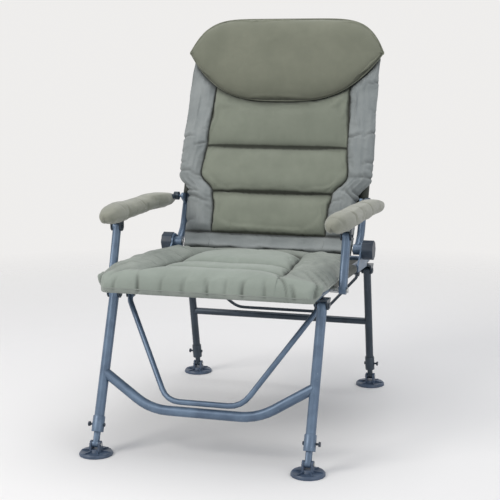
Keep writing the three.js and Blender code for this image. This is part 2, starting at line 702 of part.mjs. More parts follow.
// Armrests: the frame turns on the backrest, and the post turns on the seat rail
const post_foot = rail_point(post_along, 0);
const post_lean = Math.atan2(arm_link.y, arm_link.z);
const post_length = Math.hypot(arm_link.y, arm_link.z);
const post_head = { y: post_foot.y + arm_link.y, z: post_foot.z + arm_link.z };
const arm_rear = { y: hinge.y + arm_link.y, z: hinge.z + arm_link.z };
for (const [side, sign] of sides) {
  const post_group = group_at(post_foot, -post_lean);
  const post_body = join(
    bar(new THREE.Vector3(sign * arm_half_spacing, 0, 0),
      new THREE.Vector3(sign * arm_half_spacing, 0, post_length), post_radius),
    ...[0, post_length].map((z) => cross_bar(sign * (arm_half_spacing - post_radius * 0.8),
      sign * (arm_half_spacing + post_radius * 0.8), 0, z, post_radius)));
  const post_holes = [0, post_length].map((z) => cross_bar(
    sign * (arm_half_spacing - post_radius - cut_overrun),
    sign * (arm_half_spacing + post_radius + cut_overrun), 0, z, pivot_pin_radius + running_gap));
  add(`armrest_post_${side}`, cut(post_body, ...post_holes), steel_blue, post_group);

  // The bolt through the rail, with the spacer that holds the post off it
  const bolt_group = group_at(post_foot, -rail_slope);
  const bolt_in = rail_half_spacing - rail_radius + running_gap;
  const bolt_out = arm_half_spacing + post_radius + running_gap + rivet_head_length;
  add(`post_bolt_${side}`, join(
    cross_bar(sign * bolt_in, sign * bolt_out, 0, 0, pivot_pin_radius),
    cross_bar(sign * (bolt_out - rivet_head_length), sign * bolt_out, 0, 0, rivet_head_radius),
    cross_bar(sign * plate_face, sign * (arm_half_spacing - post_radius - running_gap), 0, 0,
      post_spacer_radius)), steel_bright, bolt_group);

  const arm_group = group_at(arm_rear);
  const to_head = { y: post_head.y - arm_rear.y, z: post_head.z - arm_rear.z };
  const tube_front = new THREE.Vector3(sign * arm_half_spacing, to_head.y - arm_pad_front * 0.55,
    to_head.z + arm_front_rise);
  const eye_x = plate_face + arm_eye_radius * 0.6;
  const route = [tube_front,
    new THREE.Vector3(sign * arm_half_spacing, -arm_pad_rear * 2.2, arm_rear_rise),
    new THREE.Vector3(sign * (eye_x + arm_tube_radius * 0.4), 0, 0)];
  const eye_from = plate_face + arm_eye_standoff;
  const eye = (extra) => cross_bar(sign * (eye_from - extra), sign * (eye_from + arm_eye_radius * 1.1
    + extra), 0, 0, arm_eye_radius + extra, 16);
  const lugs = (extra) => [-1, 1].map((s) => {
    const face_x = arm_half_spacing + s * (post_radius + running_gap + arm_lug_plate / 2);
    const shape = new THREE.Shape();
    const reach = arm_lug_radius + extra;
    shape.moveTo(to_head.y - reach, to_head.z);
    shape.absarc(to_head.y, to_head.z, reach, Math.PI, 2 * Math.PI, false);
    shape.lineTo(to_head.y + reach, to_head.z + arm_front_rise + extra);
    shape.lineTo(to_head.y - reach, to_head.z + arm_front_rise + extra);
    shape.closePath();
    const thickness = arm_lug_plate + 2 * extra;
    return side_plate(shape, sign * face_x - thickness / 2, thickness);
  });
  const saddle = (extra) => box(2 * (post_radius + running_gap + arm_lug_plate + extra),
    2 * (arm_lug_radius + extra), arm_tube_radius + 2 * extra, sign * arm_half_spacing,
    to_head.y, to_head.z + arm_front_rise - arm_tube_radius / 2);
  const pin = cross_bar(sign * (arm_half_spacing - post_radius - arm_lug_plate - rivet_head_length),
    sign * (arm_half_spacing + post_radius + arm_lug_plate + rivet_head_length),
    to_head.y, to_head.z, pivot_pin_radius);
  const frame = join(bent_tube(route, arm_tube_radius, arm_tube_bend, 4, 10), eye(0), ...lugs(0), saddle(0), pin);
  const eye_hole = cross_bar(sign * (plate_face - cut_overrun), sign * (plate_face + arm_eye_radius * 3),
    0, 0, pivot_pin_radius + running_gap);
  add(`armrest_frame_${side}`, cut(frame, eye_hole), steel_dark, arm_group);

  // The pad: a sleeve that is fat in front and thinner behind
  const pad_from = to_head.y - arm_pad_front;
  const pad_to = arm_pad_rear;
  const level = to_head.z + arm_front_rise + arm_pad_above_tube;
  const pad_middle_at = through([[pad_from, level], [to_head.y, level],
    [(pad_from + pad_to) / 2, arm_pad_above_tube], [pad_to, arm_rear_rise - arm_pad_rear_drop]]);
  const pad_half_shares = [[0, 1], [0.74, 1], [1, 0.72]];
  const pad_half_at = follow(pad_half_shares, pad_from, pad_to, arm_pad_half_height);
  const toe_shares = [[0, 1], [0.3, 0.25], [0.6, 0], [1, 0]];
  const toe_at = follow(toe_shares, pad_from, pad_to, arm_pad_toe_in);
  const across_shares = [-1, -0.94, -0.78, -0.42, 0, 0.42, 0.78, 0.94, 1];
  const along = stations(pad_from, pad_to, 14, [], 0);
  const place = (u, v, face) => {
    const share = (2 * (v - pad_from)) / (pad_to - pad_from) - 1;
    const nose = 0.45 + 0.55 * rounded(share, 14);
    const middle = pad_middle_at(v);
    const edge = rounded(u, 2.6) * rounded(share, 10);
    return [sign * (arm_half_spacing - toe_at(v)) + u * arm_pad_half_width * nose, v,
      middle + face * pad_half_at(v) * edge];
  };
  const tools = [bent_tube(route, arm_tube_radius + running_gap, arm_tube_bend, 4, 10), eye(running_gap),
    ...lugs(running_gap), saddle(running_gap),
    cross_bar(sign * (plate_face - cut_overrun), sign * (plate_face + arm_eye_radius * 1.3),
      0, 0, pivot_pin_radius + cut_overrun)];
  add(`armrest_pad_${side}`, cut(padded(across_shares, along, place), ...tools), arm_cloth, arm_group);
}

// Leg frames in their own frames: Z runs up the legs to the pivot, so the legs hang towards -Z
function leg_set(spec) {
  const pivot = rail_point(spec.along, -spec.drop);
  const lean = rad(spec.lean_deg) * spec.lean_sign;
  const group = group_at(pivot, lean);
  const foot_reach = (pivot.z - foot_pivot_height) / Math.cos(lean);
  const mouth = -(foot_reach - spec.inner_show);
  const tube_end = mouth + collar_lip;
  const lock = mouth + lock_pin_above_mouth;
  const bore = spec.inner_radius + running_gap;
  const inner_top = lock + leg_extension + leg_insertion;
  const bore_top = inner_top + cut_overrun;
  const cutters = [];
  for (const [side, sign] of sides) {
    const x = sign * leg_half_spacing;
    const outer = turned([[bore, tube_end], [spec.radius, tube_end], [spec.radius, 0], [0, 0],
      [0, bore_top], [bore, bore_top], [bore, tube_end]]).translate(x, 0, 0);
    const head = cross_bar(x - spec.radius * 0.85, x + spec.radius * 0.85, 0, 0, spec.radius);
    const pivot_hole = cross_bar(x - spec.radius - cut_overrun, x + spec.radius + cut_overrun, 0, 0,
      rivet_radius + running_gap);
    const lock_hole = cross_bar(x - spec.radius - cut_overrun, x + spec.radius + cut_overrun, 0, lock,
      lock_pin_radius + running_gap);
    add(`${spec.name}_leg_${side}`, cut(join(outer, head), pivot_hole, lock_hole),
      spec.look, group);

    // Collar with the mouth lip, pushed over the end of the outer tube
    const sleeve = spec.radius + running_gap;
    const ring = turned([[bore, mouth], [sleeve + collar_wall, mouth],
      [sleeve + collar_wall, mouth + collar_length - collar_wall],
      [sleeve + collar_wall / 3, mouth + collar_length], [sleeve, mouth + collar_length],
      [sleeve, tube_end - running_gap], [bore, tube_end - running_gap], [bore, mouth]])
      .translate(x, 0, 0);
    const collar_hole = cross_bar(x - sleeve - collar_wall - cut_overrun,
      x + sleeve + collar_wall + cut_overrun, 0, lock, lock_pin_radius + running_gap);
    add(`${spec.name}_collar_${side}`, cut(ring, collar_hole), black_plastic, group);

    // Through pin, riveted inside the frame: pressing its proud outer head frees the inner leg
    const face = sleeve + collar_wall + running_gap;
    const proud = face + lock_pin_travel;
    add(`${spec.name}_lock_pin_${side}`, join(
      cross_bar(x - sign * (face + lock_pin_rivet_length / 2), x + sign * (proud + lock_pin_head_length / 2),
        0, lock, lock_pin_radius, 8),
      cross_bar(x + sign * proud, x + sign * (proud + lock_pin_head_length), 0, lock, lock_pin_head_radius, 12),
      cross_bar(x - sign * face, x - sign * (face + lock_pin_rivet_length), 0, lock, lock_pin_rivet_radius)),
    steel_bright, group);

    // Inner leg with the slot that the lock pin runs in
    const stem = bar(new THREE.Vector3(x, 0, -foot_reach), new THREE.Vector3(x, 0, inner_top),
      spec.inner_radius);
    const knuckle = cross_bar(x - spec.inner_radius * 0.9, x + spec.inner_radius * 0.9, 0, -foot_reach,
      spec.inner_radius);
    const slot_half = lock_pin_radius + running_gap * 2;
    const slot_low = lock - slot_half;
    const slot_high = lock + leg_extension + slot_half;
    const slot = box(2 * (spec.inner_radius + cut_overrun), 2 * slot_half, slot_high - slot_low,
      x, 0, (slot_low + slot_high) / 2);
    const pin_hole = cross_bar(x - spec.inner_radius - cut_overrun, x + spec.inner_radius + cut_overrun,
      0, -foot_reach, foot_pin_radius + running_gap);
    add(`${spec.name}_inner_leg_${side}`, cut(join(stem, knuckle), slot, pin_hole), spec.look, group);
    cutters.push(bar(new THREE.Vector3(x, 0, mouth), new THREE.Vector3(x, 0, 0),
      spec.radius + running_gap, 24));

    // Mud foot, flat on the floor
    const foot_place = { y: pivot.y + foot_reach * Math.sin(lean), z: 0 };
    const foot_group = group_at(foot_place);
    add_foot(`${spec.name}_mud_foot_${side}`, `${spec.name}_foot_pin_${side}`, x, spec.inner_radius,
      foot_group);
  }
  return { group, pivot, lean, cutters };
}

function add_foot(name, pin_name, x, inner_radius, group) {
  const dish = turned([[0, foot_dish_depth],
    [foot_radius - foot_rim_height, foot_dish_depth], [foot_radius - foot_rim_height, 0],
    [foot_radius, 0], [foot_radius, foot_rim_height * 0.8], [foot_radius - foot_rim_height * 0.6,
      foot_rim_height * 1.6], [foot_hub_radius, foot_rim_height * 1.4],
    [foot_hub_radius * 0.8, foot_hub_height], [0, foot_hub_height]], 16);
  const pieces = [dish];
  for (let i = 0; i < foot_ribs; i += 1) {
    const length = foot_radius - foot_rim_height - foot_hub_radius * 0.5;
    const rib = new THREE.Shape();
    rib.moveTo(foot_hub_radius * 0.5, foot_rim_height * 0.9);
    rib.lineTo(foot_hub_radius * 0.5, foot_hub_height * 0.95);
    rib.lineTo(foot_hub_radius * 0.5 + length, foot_rim_height * 1.9);
    rib.lineTo(foot_hub_radius * 0.5 + length, foot_rim_height * 0.9);
    rib.closePath();
    const plate = side_plate(rib, -foot_rib_thickness / 2, foot_rib_thickness);
    pieces.push(plate.rotateZ((2 * Math.PI * (i + 0.5)) / foot_ribs));
  }
  const ear_gap = inner_radius + running_gap;
  for (const s of [-1, 1]) {
    const shape = new THREE.Shape();
    const half = foot_pin_radius + foot_ear_rise * 0.6;
    shape.moveTo(-half * 1.5, foot_rim_height);
    shape.lineTo(half * 1.5, foot_rim_height);
    shape.lineTo(half, foot_pivot_height);
    shape.absarc(0, foot_pivot_height, half, 0, Math.PI, false);
    shape.closePath();
    pieces.push(side_plate(shape, s > 0 ? ear_gap : -ear_gap - foot_ear_thickness, foot_ear_thickness));
  }
  const pin_reach = ear_gap + foot_ear_thickness;
  const hole = cross_bar(-pin_reach - cut_overrun, pin_reach + cut_overrun, 0, foot_pivot_height,
    foot_pin_radius + running_gap);
  const foot = cut(join(...pieces), hole).translate(x, 0, 0);
  add(name, foot, foot_plastic, group);
  const pin = join(
    cross_bar(x - pin_reach - running_gap, x + pin_reach + running_gap, 0, foot_pivot_height,
      foot_pin_radius, 8),
    ...[-1, 1].map((s) => cross_bar(x + s * (pin_reach + running_gap),
      x + s * (pin_reach + running_gap + rivet_head_length * 0.8), 0, foot_pivot_height,
      foot_pin_radius * 1.6)));
  add(pin_name, pin, steel_bright, group);
}

const front = leg_set({
  name: 'front', along: front_leg_along, drop: front_leg_drop, lean_deg: front_leg_lean_deg,
  lean_sign: -1, radius: front_leg_radius, inner_radius: front_inner_radius,
  inner_show: front_inner_show, look: steel_blue,
});
const rear = leg_set({
  name: 'rear', along: rear_leg_along, drop: rear_leg_drop, lean_deg: rear_leg_lean_deg,
  lean_sign: 1, radius: rear_leg_radius, inner_radius: rear_inner_radius,
  inner_show: rear_inner_show, look: steel_dark,
});

// Front cross tube: dips in the middle; rear cross bar: straight
{
  const corner = (x, z) => new THREE.Vector3(x, 0, z);
  const tube = bent_tube([
    corner(-leg_half_spacing, -front_cross_join), corner(-front_cross_flat_half, -front_cross_drop),
    corner(front_cross_flat_half, -front_cross_drop), corner(leg_half_spacing, -front_cross_join)],
  front_cross_radius, front_cross_bend, 5, 14);
  add('front_cross_tube', cut(tube, ...front.cutters), steel_blue, front.group);
  const straight = cross_bar(-leg_half_spacing, leg_half_spacing, 0, -rear_bar_drop, rear_bar_radius);
  add('rear_cross_bar', cut(straight, ...rear.cutters), steel_dark, rear.group);
}

// Bails: U-shaped rods that turn on the brackets and lie over the middle of each cross tube
function bail(name, spec) {
  const eye = rail_point(spec.along, -spec.drop);
  const reach = spec.radius + spec.tube_radius + spec.clear;
  const tilt = rad(spec.tilt_deg);
  const tube = {
    y: spec.frame.pivot.y + spec.tube_drop * Math.sin(spec.frame.lean),
    z: spec.frame.pivot.z - spec.tube_drop * Math.cos(spec.frame.lean),
  };
  const foot = { y: tube.y + spec.outward * reach * Math.sin(tilt), z: tube.z + reach * Math.cos(tilt) };
  const length = Math.hypot(foot.y - eye.y, foot.z - eye.z);
  const lean = Math.atan2(foot.y - eye.y, eye.z - foot.z);
  const group = group_at(eye, lean);
  const plate_inner = leg_half_spacing - spec.leg_radius - running_gap - bracket_plate;
  const top_x = plate_inner - running_gap - spec.radius;
  const corner = (x, z) => new THREE.Vector3(x, 0, z);
  const rod = bent_tube([corner(-top_x, 0), corner(-top_x, -bail_neck),
    corner(-spec.flat_half, -length), corner(spec.flat_half, -length), corner(top_x, -bail_neck),
    corner(top_x, 0)], spec.radius, [bail_neck / 2, spec.bend, spec.bend, bail_neck / 2], 4, spec.facets);
  const eyes = [-1, 1].map((sign) => cross_bar(sign * (top_x - spec.radius),
    sign * (top_x + spec.radius), 0, 0, spec.radius * bail_eye_share, 12));
  const trim = [-1, 1].map((sign) => cross_bar(sign * (top_x + spec.radius),
    sign * (plate_inner + spec.radius * 4), 0, 0, spec.radius * 4));
  const holes = [-1, 1].map((sign) => cross_bar(sign * (top_x - spec.radius * 3),
    sign * (top_x + spec.radius * 3), 0, 0, rivet_radius * 0.75 + running_gap));
  add(name, cut(join(rod, ...eyes), ...trim, ...holes), spec.look, group);
}
bail('front_bail', {
  along: front_bail_along, drop: front_bail_drop, radius: front_bail_radius, clear: front_bail_clear,
  tube_radius: front_cross_radius, tube_drop: front_cross_drop, tilt_deg: 0, outward: -1,
  flat_half: front_bail_flat_half, bend: front_bail_bend, frame: front, leg_radius: front_leg_radius,
  facets: 10, look: steel_blue,
});
bail('rear_bail', {
  along: rear_bail_along, drop: rear_bail_drop, radius: rear_bail_radius, clear: rear_bail_clear,
  tube_radius: rear_bar_radius, tube_drop: rear_bar_drop, tilt_deg: rear_bail_tilt_deg, outward: 1,
  flat_half: rear_bail_flat_half, bend: rear_bail_bend, frame: rear, leg_radius: rear_leg_radius,
  facets: 8, look: steel_dark,
});

// The whole chair is moved so that the origin is in the middle of its box, on the floor
const whole = new THREE.Group();
whole.add(chair);
chair.updateMatrixWorld(true);
const extent = new THREE.Box3().setFromObject(chair, true);
chair.position.y = -(extent.min.y + extent.max.y) / 2;

export default whole;
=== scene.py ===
"""Folding carp fishing chair: cushions, slings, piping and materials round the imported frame."""
import json
import math

import bpy
import numpy as np
from mathutils import Matrix, Vector


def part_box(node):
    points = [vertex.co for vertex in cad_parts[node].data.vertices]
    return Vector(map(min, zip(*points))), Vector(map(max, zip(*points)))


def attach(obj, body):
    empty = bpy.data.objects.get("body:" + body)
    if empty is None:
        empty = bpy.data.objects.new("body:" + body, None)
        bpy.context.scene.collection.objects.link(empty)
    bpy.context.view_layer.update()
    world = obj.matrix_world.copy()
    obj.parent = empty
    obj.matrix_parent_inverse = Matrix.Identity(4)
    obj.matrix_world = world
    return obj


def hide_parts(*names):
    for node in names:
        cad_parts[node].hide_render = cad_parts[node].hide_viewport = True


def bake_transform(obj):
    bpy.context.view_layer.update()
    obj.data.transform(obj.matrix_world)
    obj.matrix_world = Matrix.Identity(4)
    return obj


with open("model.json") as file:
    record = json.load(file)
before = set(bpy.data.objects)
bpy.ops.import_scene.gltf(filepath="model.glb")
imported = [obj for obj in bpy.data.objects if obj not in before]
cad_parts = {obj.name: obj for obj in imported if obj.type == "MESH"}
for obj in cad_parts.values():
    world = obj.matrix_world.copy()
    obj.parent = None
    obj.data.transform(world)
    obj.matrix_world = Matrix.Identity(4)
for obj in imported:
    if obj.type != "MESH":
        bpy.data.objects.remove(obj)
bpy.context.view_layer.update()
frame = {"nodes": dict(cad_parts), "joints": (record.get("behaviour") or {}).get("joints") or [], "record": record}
nodes = frame["nodes"]
scene = bpy.context.scene

# Joints that the soft goods and the camera are placed from
JOINTS = {joint["name"]: joint for joint in frame["joints"]}
HINGE = np.array(JOINTS["back_recline"]["pos_m"])
POST_FOOT = np.array(JOINTS["armrest_post_pivot_left"]["pos_m"])

# The photograph's camera
CAMERA_FROM_HINGE = Vector((0.8929, -3.2438, 0.5657))
YAW, PITCH, ROLL = math.radians(16.18), math.radians(9.76), math.radians(-0.15)
LENS_MM, SENSOR_MM = 86.81, 36.0

# The two tilted frames that the soft goods lie in: the seat rails and the back tubes
BACK_LEAN = math.radians(22)
RAIL_SLOPE = math.radians(1.8)
POST_ALONG = 0.110
DOWN_RAIL = np.array([0, math.cos(RAIL_SLOPE), -math.sin(RAIL_SLOPE)])
RAIL_FRONT = POST_FOOT * (0, 1, 1) - POST_ALONG * DOWN_RAIL
RAIL_HALF, RAIL_RADIUS = 0.262, 0.011
TUBE_AHEAD = -0.028
SIDES = (("left", -1), ("right", 1))


# ---------------------------------------------------------------- places
def back_to_row(points):
    """x, ahead of the line through the hinge, up that line -> the row frame."""
    x, ahead, up = points[..., 0], points[..., 1], points[..., 2]
    y = HINGE[1] + up * math.sin(BACK_LEAN) - ahead * math.cos(BACK_LEAN)
    z = HINGE[2] + up * math.cos(BACK_LEAN) + ahead * math.sin(BACK_LEAN)
    return np.stack([x, y, z], -1)


def seat_to_row(points):
    """x, along the rails from their front, above their axes -> the row frame."""
    x, along, rise = points[..., 0], points[..., 1], points[..., 2]
    y = RAIL_FRONT[1] + along * math.cos(RAIL_SLOPE) + rise * math.sin(RAIL_SLOPE)
    z = RAIL_FRONT[2] - along * math.sin(RAIL_SLOPE) + rise * math.cos(RAIL_SLOPE)
    return np.stack([x, y, z], -1)


def through(pairs):
    """A smooth curve through (place, value) pairs."""
    places = np.array([p for p, _ in pairs])
    values = np.array([v for _, v in pairs])

    def at(place):
        place = np.clip(place, places[0], places[-1])
        i = np.clip(np.searchsorted(places, place) - 1, 0, len(places) - 2)
        share = (place - places[i]) / (places[i + 1] - places[i])
        share = share * share * (3 - 2 * share)
        return values[i] + (values[i + 1] - values[i]) * share
    return at


def crown(share, power, root=0.5):
    """1 in the middle, falling to 0 where share is -1 or 1."""
    return np.clip(1 - np.abs(share) ** power, 0, 1) ** root


NOISE_CELLS, NOISE_SHIFT = 256, 64.0


def noise(a, b, size, seed):
    """Smooth value noise from -1 to 1 over two coordinates."""
    table = np.random.default_rng(seed).uniform(-1, 1, (NOISE_CELLS, NOISE_CELLS))
    p, q = a / size + NOISE_SHIFT, b / size + NOISE_SHIFT
    i, j = np.floor(p).astype(int), np.floor(q).astype(int)
    f, g = p - i, q - j
    f, g = f * f * (3 - 2 * f), g * g * (3 - 2 * g)
    i, j = i % (NOISE_CELLS - 1), j % (NOISE_CELLS - 1)
    low = table[i, j] * (1 - f) + table[i + 1, j] * f
    high = table[i, j + 1] * (1 - f) + table[i + 1, j + 1] * f
    return low * (1 - g) + high * g


# ---------------------------------------------------------------- meshes
def new_piece(name, points, faces, material, smooth=True):
    """An object with one material, or with the materials of a list."""
    mesh = bpy.data.meshes.new(name)
    mesh.from_pydata([tuple(p) for p in points], [], [tuple(f) for f in faces])
    mesh.validate()
    if smooth:
        mesh.polygons.foreach_set("use_smooth", [True] * len(mesh.polygons))
    piece = bpy.data.objects.new(name, mesh)
    scene.collection.objects.link(piece)
    for one in material if isinstance(material, (list, tuple)) else [material]:
        mesh.materials.append(one)
    return piece


def two_sided(front, back):
    """Points and faces of a closed pad from two grids (rows, columns, 3) that share their rim."""
    rows, columns = front.shape[:2]
    number = np.arange(rows * columns).reshape(rows, columns)
    under = number.copy()
    inner = back[1:-1, 1:-1].reshape(-1, 3)
    under[1:-1, 1:-1] = rows * columns + np.arange(len(inner)).reshape(rows - 2, columns - 2)
    points = np.concatenate([front.reshape(-1, 3), inner])

    def quads(grid, flip):
        a, b, c, d = grid[:-1, :-1], grid[:-1, 1:], grid[1:, 1:], grid[1:, :-1]
        order = (a, d, c, b) if flip else (a, b, c, d)
        return np.stack([x.ravel() for x in order], -1)
    return points, np.concatenate([quads(number, False), quads(under, True)]), number


def sheet_faces(rows, columns, closed=False):
    """The quads of a grid, whose columns meet again if it is closed."""
    number = np.arange(rows * columns).reshape(rows, columns)
    if closed:
        number = np.concatenate([number, number[:, :1]], 1)
    a, b, c, d = number[:-1, :-1], number[:-1, 1:], number[1:, 1:], number[1:, :-1]
    return np.stack([x.ravel() for x in (a, b, c, d)], -1)


CORD_SIDES = 8
BACK_CORD, HEAD_CORD, SEAT_CORD = 0.0019, 0.0021, 0.0014
OFF_AXIS = (0.31, 0.17, 0.93)


def tube(name, path, radius, material, closed=False):
    """A round cord along a path of points, capped unless it is closed."""
    sides = CORD_SIDES
    path = np.asarray(path, float)
    count = len(path)
    ahead = np.roll(path, -1, 0) - np.roll(path, 1, 0)
    if not closed:
        ahead[0], ahead[-1] = path[1] - path[0], path[-1] - path[-2]
    ahead /= np.linalg.norm(ahead, axis=1)[:, None]
    side = np.cross(ahead[0], OFF_AXIS)
    rings = []
    angles = np.linspace(0, 2 * math.pi, sides, endpoint=False)
    for i in range(count):
        side = side - ahead[i] * side.dot(ahead[i])
        side /= np.linalg.norm(side)
        other = np.cross(ahead[i], side)
        rings.append(path[i] + radius * (np.cos(angles)[:, None] * side + np.sin(angles)[:, None] * other))
    points = np.concatenate(rings)
    faces = [tuple(f) for f in sheet_faces(count, sides, closed=True)]
    if closed:
        last = (count - 1) * sides
        faces += [(last + k, last + (k + 1) % sides, (k + 1) % sides, k) for k in range(sides)]
    else:
        faces.append(tuple(reversed(range(sides))))
        faces.append(tuple(range((count - 1) * sides, count * sides)))
    return new_piece(name, points, faces, material)


def pick(grid_mask, obj, index):
    """Gives the faces whose mask is true another material."""
    values = np.zeros(len(obj.data.polygons), np.int32)
    obj.data.polygons.foreach_get("material_index", values)
    values[: len(grid_mask)][grid_mask] = index
    obj.data.polygons.foreach_set("material_index", values)


def read_places(mesh):
    """The places of a mesh's points, one row for each."""
    places = np.zeros(len(mesh.vertices) * 3)
    mesh.vertices.foreach_get("co", places)
    return places.reshape(-1, 3)


CLOTH = {"quality": 5, "mass": 0.25, "tension_stiffness": 12, "compression_stiffness": 12,
         "shear_stiffness": 5, "bending_stiffness": 0.4, "air_damping": 2, "use_pressure": True,
         "pin_stiffness": 5}
CLOTH_FRAMES = 20
TINY = 1e-9


def inflate(obj, held, pressure, cap, grow):
    """Cloth with pressure inside: held is 1 where a point stays, grow is spare cloth, cap is in metres."""
    start = read_places(obj.data)
    group = obj.vertex_groups.new(name="held")
    group.add([int(k) for k in np.nonzero(held)[0]], 1.0, "REPLACE")
    modifier = obj.modifiers.new("cloth", "CLOTH")
    cloth = modifier.settings
    for name, value in CLOTH.items():
        setattr(cloth, name, value)
    cloth.uniform_pressure_force = pressure
    cloth.shrink_min = cloth.shrink_max = -grow
    cloth.vertex_group_mass = group.name
    cloth.effector_weights.gravity = 0
    modifier.collision_settings.use_collision = False
    modifier.point_cache.frame_start = 1
    modifier.point_cache.frame_end = CLOTH_FRAMES
    for number in range(1, CLOTH_FRAMES + 1):
        scene.frame_set(number)
    shown = obj.evaluated_get(bpy.context.evaluated_depsgraph_get())
    step = read_places(shown.data) - start
    length = np.linalg.norm(step, axis=1)[:, None]
    step *= np.minimum(1, cap / np.maximum(length, TINY))
    obj.modifiers.remove(modifier)
    obj.vertex_groups.remove(group)
    scene.frame_set(1)
    obj.data.vertices.foreach_set("co", (start + step).ravel())
    obj.data.update()


# ---------------------------------------------------------------- materials
def srgb(*channels):
    """A colour given in 0 to 255, as Blender's linear colour."""
    shares = [channel / 255 for channel in channels]
    return tuple(c / 12.92 if c <= 0.04045 else ((c + 0.055) / 1.055) ** 2.4 for c in shares) + (1.0,)


def scaled(colour, factor):
    """A darker or lighter version of a linear colour."""
    return tuple(min(1, c * factor) for c in colour[:3]) + (1,)


class Nodes:
    """A short way to wire a node material."""

    def __init__(self, name):
        self.material = bpy.data.materials.new(name)
        self.material.use_nodes = True
        self.tree = self.material.node_tree
        self.tree.nodes.clear()
        self.out = self.node("ShaderNodeOutputMaterial")
        self.shader = self.node("ShaderNodeBsdfPrincipled")
        self.link(self.shader.outputs[0], self.out.inputs["Surface"])
        self.place = self.node("ShaderNodeTexCoord").outputs["Object"]

    def node(self, kind, **values):
        made = self.tree.nodes.new(kind)
        for key, value in values.items():
            if key.startswith("i_"):
                made.inputs[key[2:].replace("_", " ")].default_value = value
            else:
                setattr(made, key, value)
        return made

    def link(self, a, b):
        self.tree.links.new(a, b)

    def noise(self, scale, detail=4.0, rough=0.55, stretch=None, distortion=0.0):
        made = self.node("ShaderNodeTexNoise", i_Scale=scale, i_Detail=detail, i_Roughness=rough,
                         i_Distortion=distortion)
        place = self.place
        if stretch:
            mapped = self.node("ShaderNodeMapping")
            mapped.inputs["Scale"].default_value = stretch
            self.link(self.place, mapped.inputs["Vector"])
            place = mapped.outputs[0]
        self.link(place, made.inputs["Vector"])
        return made.outputs["Fac"]

    def shade(self, colour, share):
        """Darkens a colour with painted shade where the mesh marks seams, folds and undersides."""
        painted_darkening = self.node("ShaderNodeAttribute", attribute_name="painted_shade").outputs["Fac"]
        tint = (share, share, share * 0.97, 1)
        return self.mix(self.span(painted_darkening, 0.0, 1.0, 0.0, 1.0), colour, tint, "MULTIPLY")

    def span(self, value, low, high, from_low=0.3, from_high=0.7):
        made = self.node("ShaderNodeMapRange", clamp=True)
        made.inputs["From Min"].default_value = from_low
        made.inputs["From Max"].default_value = from_high
        made.inputs["To Min"].default_value = low
        made.inputs["To Max"].default_value = high
        self.link(value, made.inputs["Value"])
        return made.outputs[0]

    def mix(self, factor, a, b, mode="MIX"):
        made = self.node("ShaderNodeMix", data_type="RGBA", blend_type=mode)
        for socket, value in ((made.inputs[0], factor), (made.inputs[6], a), (made.inputs[7], b)):
            if isinstance(value, bpy.types.NodeSocket):
                self.link(value, socket)
            else:
                socket.default_value = value
        return made.outputs[2]

    def math(self, kind, a, b=0.0):
        made = self.node("ShaderNodeMath", operation=kind)
        for socket, value in zip(made.inputs, (a, b)):
            if isinstance(value, bpy.types.NodeSocket):
                self.link(value, socket)
            else:
                socket.default_value = value
        return made.outputs[0]

    def bump(self, height, strength, distance, below=None):
        made = self.node("ShaderNodeBump", i_Strength=strength, i_Distance=distance)
        self.link(height, made.inputs["Height"])
        if below is not None:
            self.link(below, made.inputs["Normal"])
        return made.outputs["Normal"]

    def finish(self, colour, roughness, normal=None, **fixed):
        for socket, value in (("Base Color", colour), ("Roughness", roughness), ("Normal", normal)):
            if isinstance(value, bpy.types.NodeSocket):
                self.link(value, self.shader.inputs[socket])
            elif value is not None:
                self.shader.inputs[socket].default_value = value
        for key, value in fixed.items():
            self.shader.inputs[key.replace("_", " ")].default_value = value
        return self.material


def fleece(name, light, dark, sheen=0.25):
    """Brushed pile: soft patches where the nap lies another way, and a fine fuzzy grain."""
    n = Nodes(name)
    nap = n.noise(7, 3, 0.6)
    patch = n.noise(38, 4, 0.6, distortion=0.4)
    grain = n.noise(1500, 2, 0.7)
    colour = n.mix(n.span(nap, 0.0, 1.0), dark, light)
    colour = n.mix(n.span(patch, 0.0, 0.3), colour, scaled(dark, 0.86))
    colour = n.mix(n.span(grain, 0.0, 0.2), colour, scaled(light, 1.35))
    normal = n.bump(grain, 0.35, 0.0006)
    normal = n.bump(patch, 0.15, 0.0014, normal)
    # Painted shade at the seams, folds and undersides that the mesh marks
    return n.finish(n.shade(colour, 0.16), 0.95, normal, Sheen_Weight=sheen, Sheen_Roughness=0.45,
                    Specular_IOR_Level=0.2)


def nylon(name, light, dark):
    """Satin cloth with a fine ribbed weave and soft crumples, painted darker in the crumples' hollows."""
    n = Nodes(name)
    weave_a = n.noise(1900, 1, 0.5, stretch=(1, 0.12, 0.12))
    weave_b = n.noise(1900, 1, 0.5, stretch=(0.12, 1, 1))
    crumple = n.noise(34, 4, 0.55, distortion=0.9)
    tone = n.noise(11, 3, 0.5)
    colour = n.mix(n.span(tone, 0.0, 1.0), dark, light)
    # Painted shade: darker where the crumple bump lies low
    colour = n.mix(n.span(crumple, 0.16, 0.0), colour, scaled(dark, 0.72))
    weave = n.math("ADD", weave_a, weave_b)
    normal = n.bump(weave, 0.25, 0.0004)
    normal = n.bump(crumple, 0.45, 0.004, normal)
    return n.finish(n.shade(colour, 0.24), n.span(crumple, 0.55, 0.7), normal, Sheen_Weight=0.12,
                    Specular_IOR_Level=0.35)


def powder_coat(name, light, dark, worn):
    """Baked paint with a fine orange-peel skin, dulled patches and small scuffs."""
    n = Nodes(name)
    peel = n.noise(700, 2, 0.5)
    cloud = n.noise(22, 4, 0.6)
    scuff = n.noise(140, 6, 0.7, stretch=(1, 1, 0.35))
    colour = n.mix(n.span(cloud, 0.0, 1.0), dark, light)
    colour = n.mix(n.span(scuff, 0.0, 0.7, 0.62, 0.74), colour, worn)
    normal = n.bump(peel, 0.12, 0.0005)
    return n.finish(colour, n.span(cloud, 0.34, 0.5), normal, Metallic=0.35, Coat_Weight=0.15,
                    Coat_Roughness=0.25)


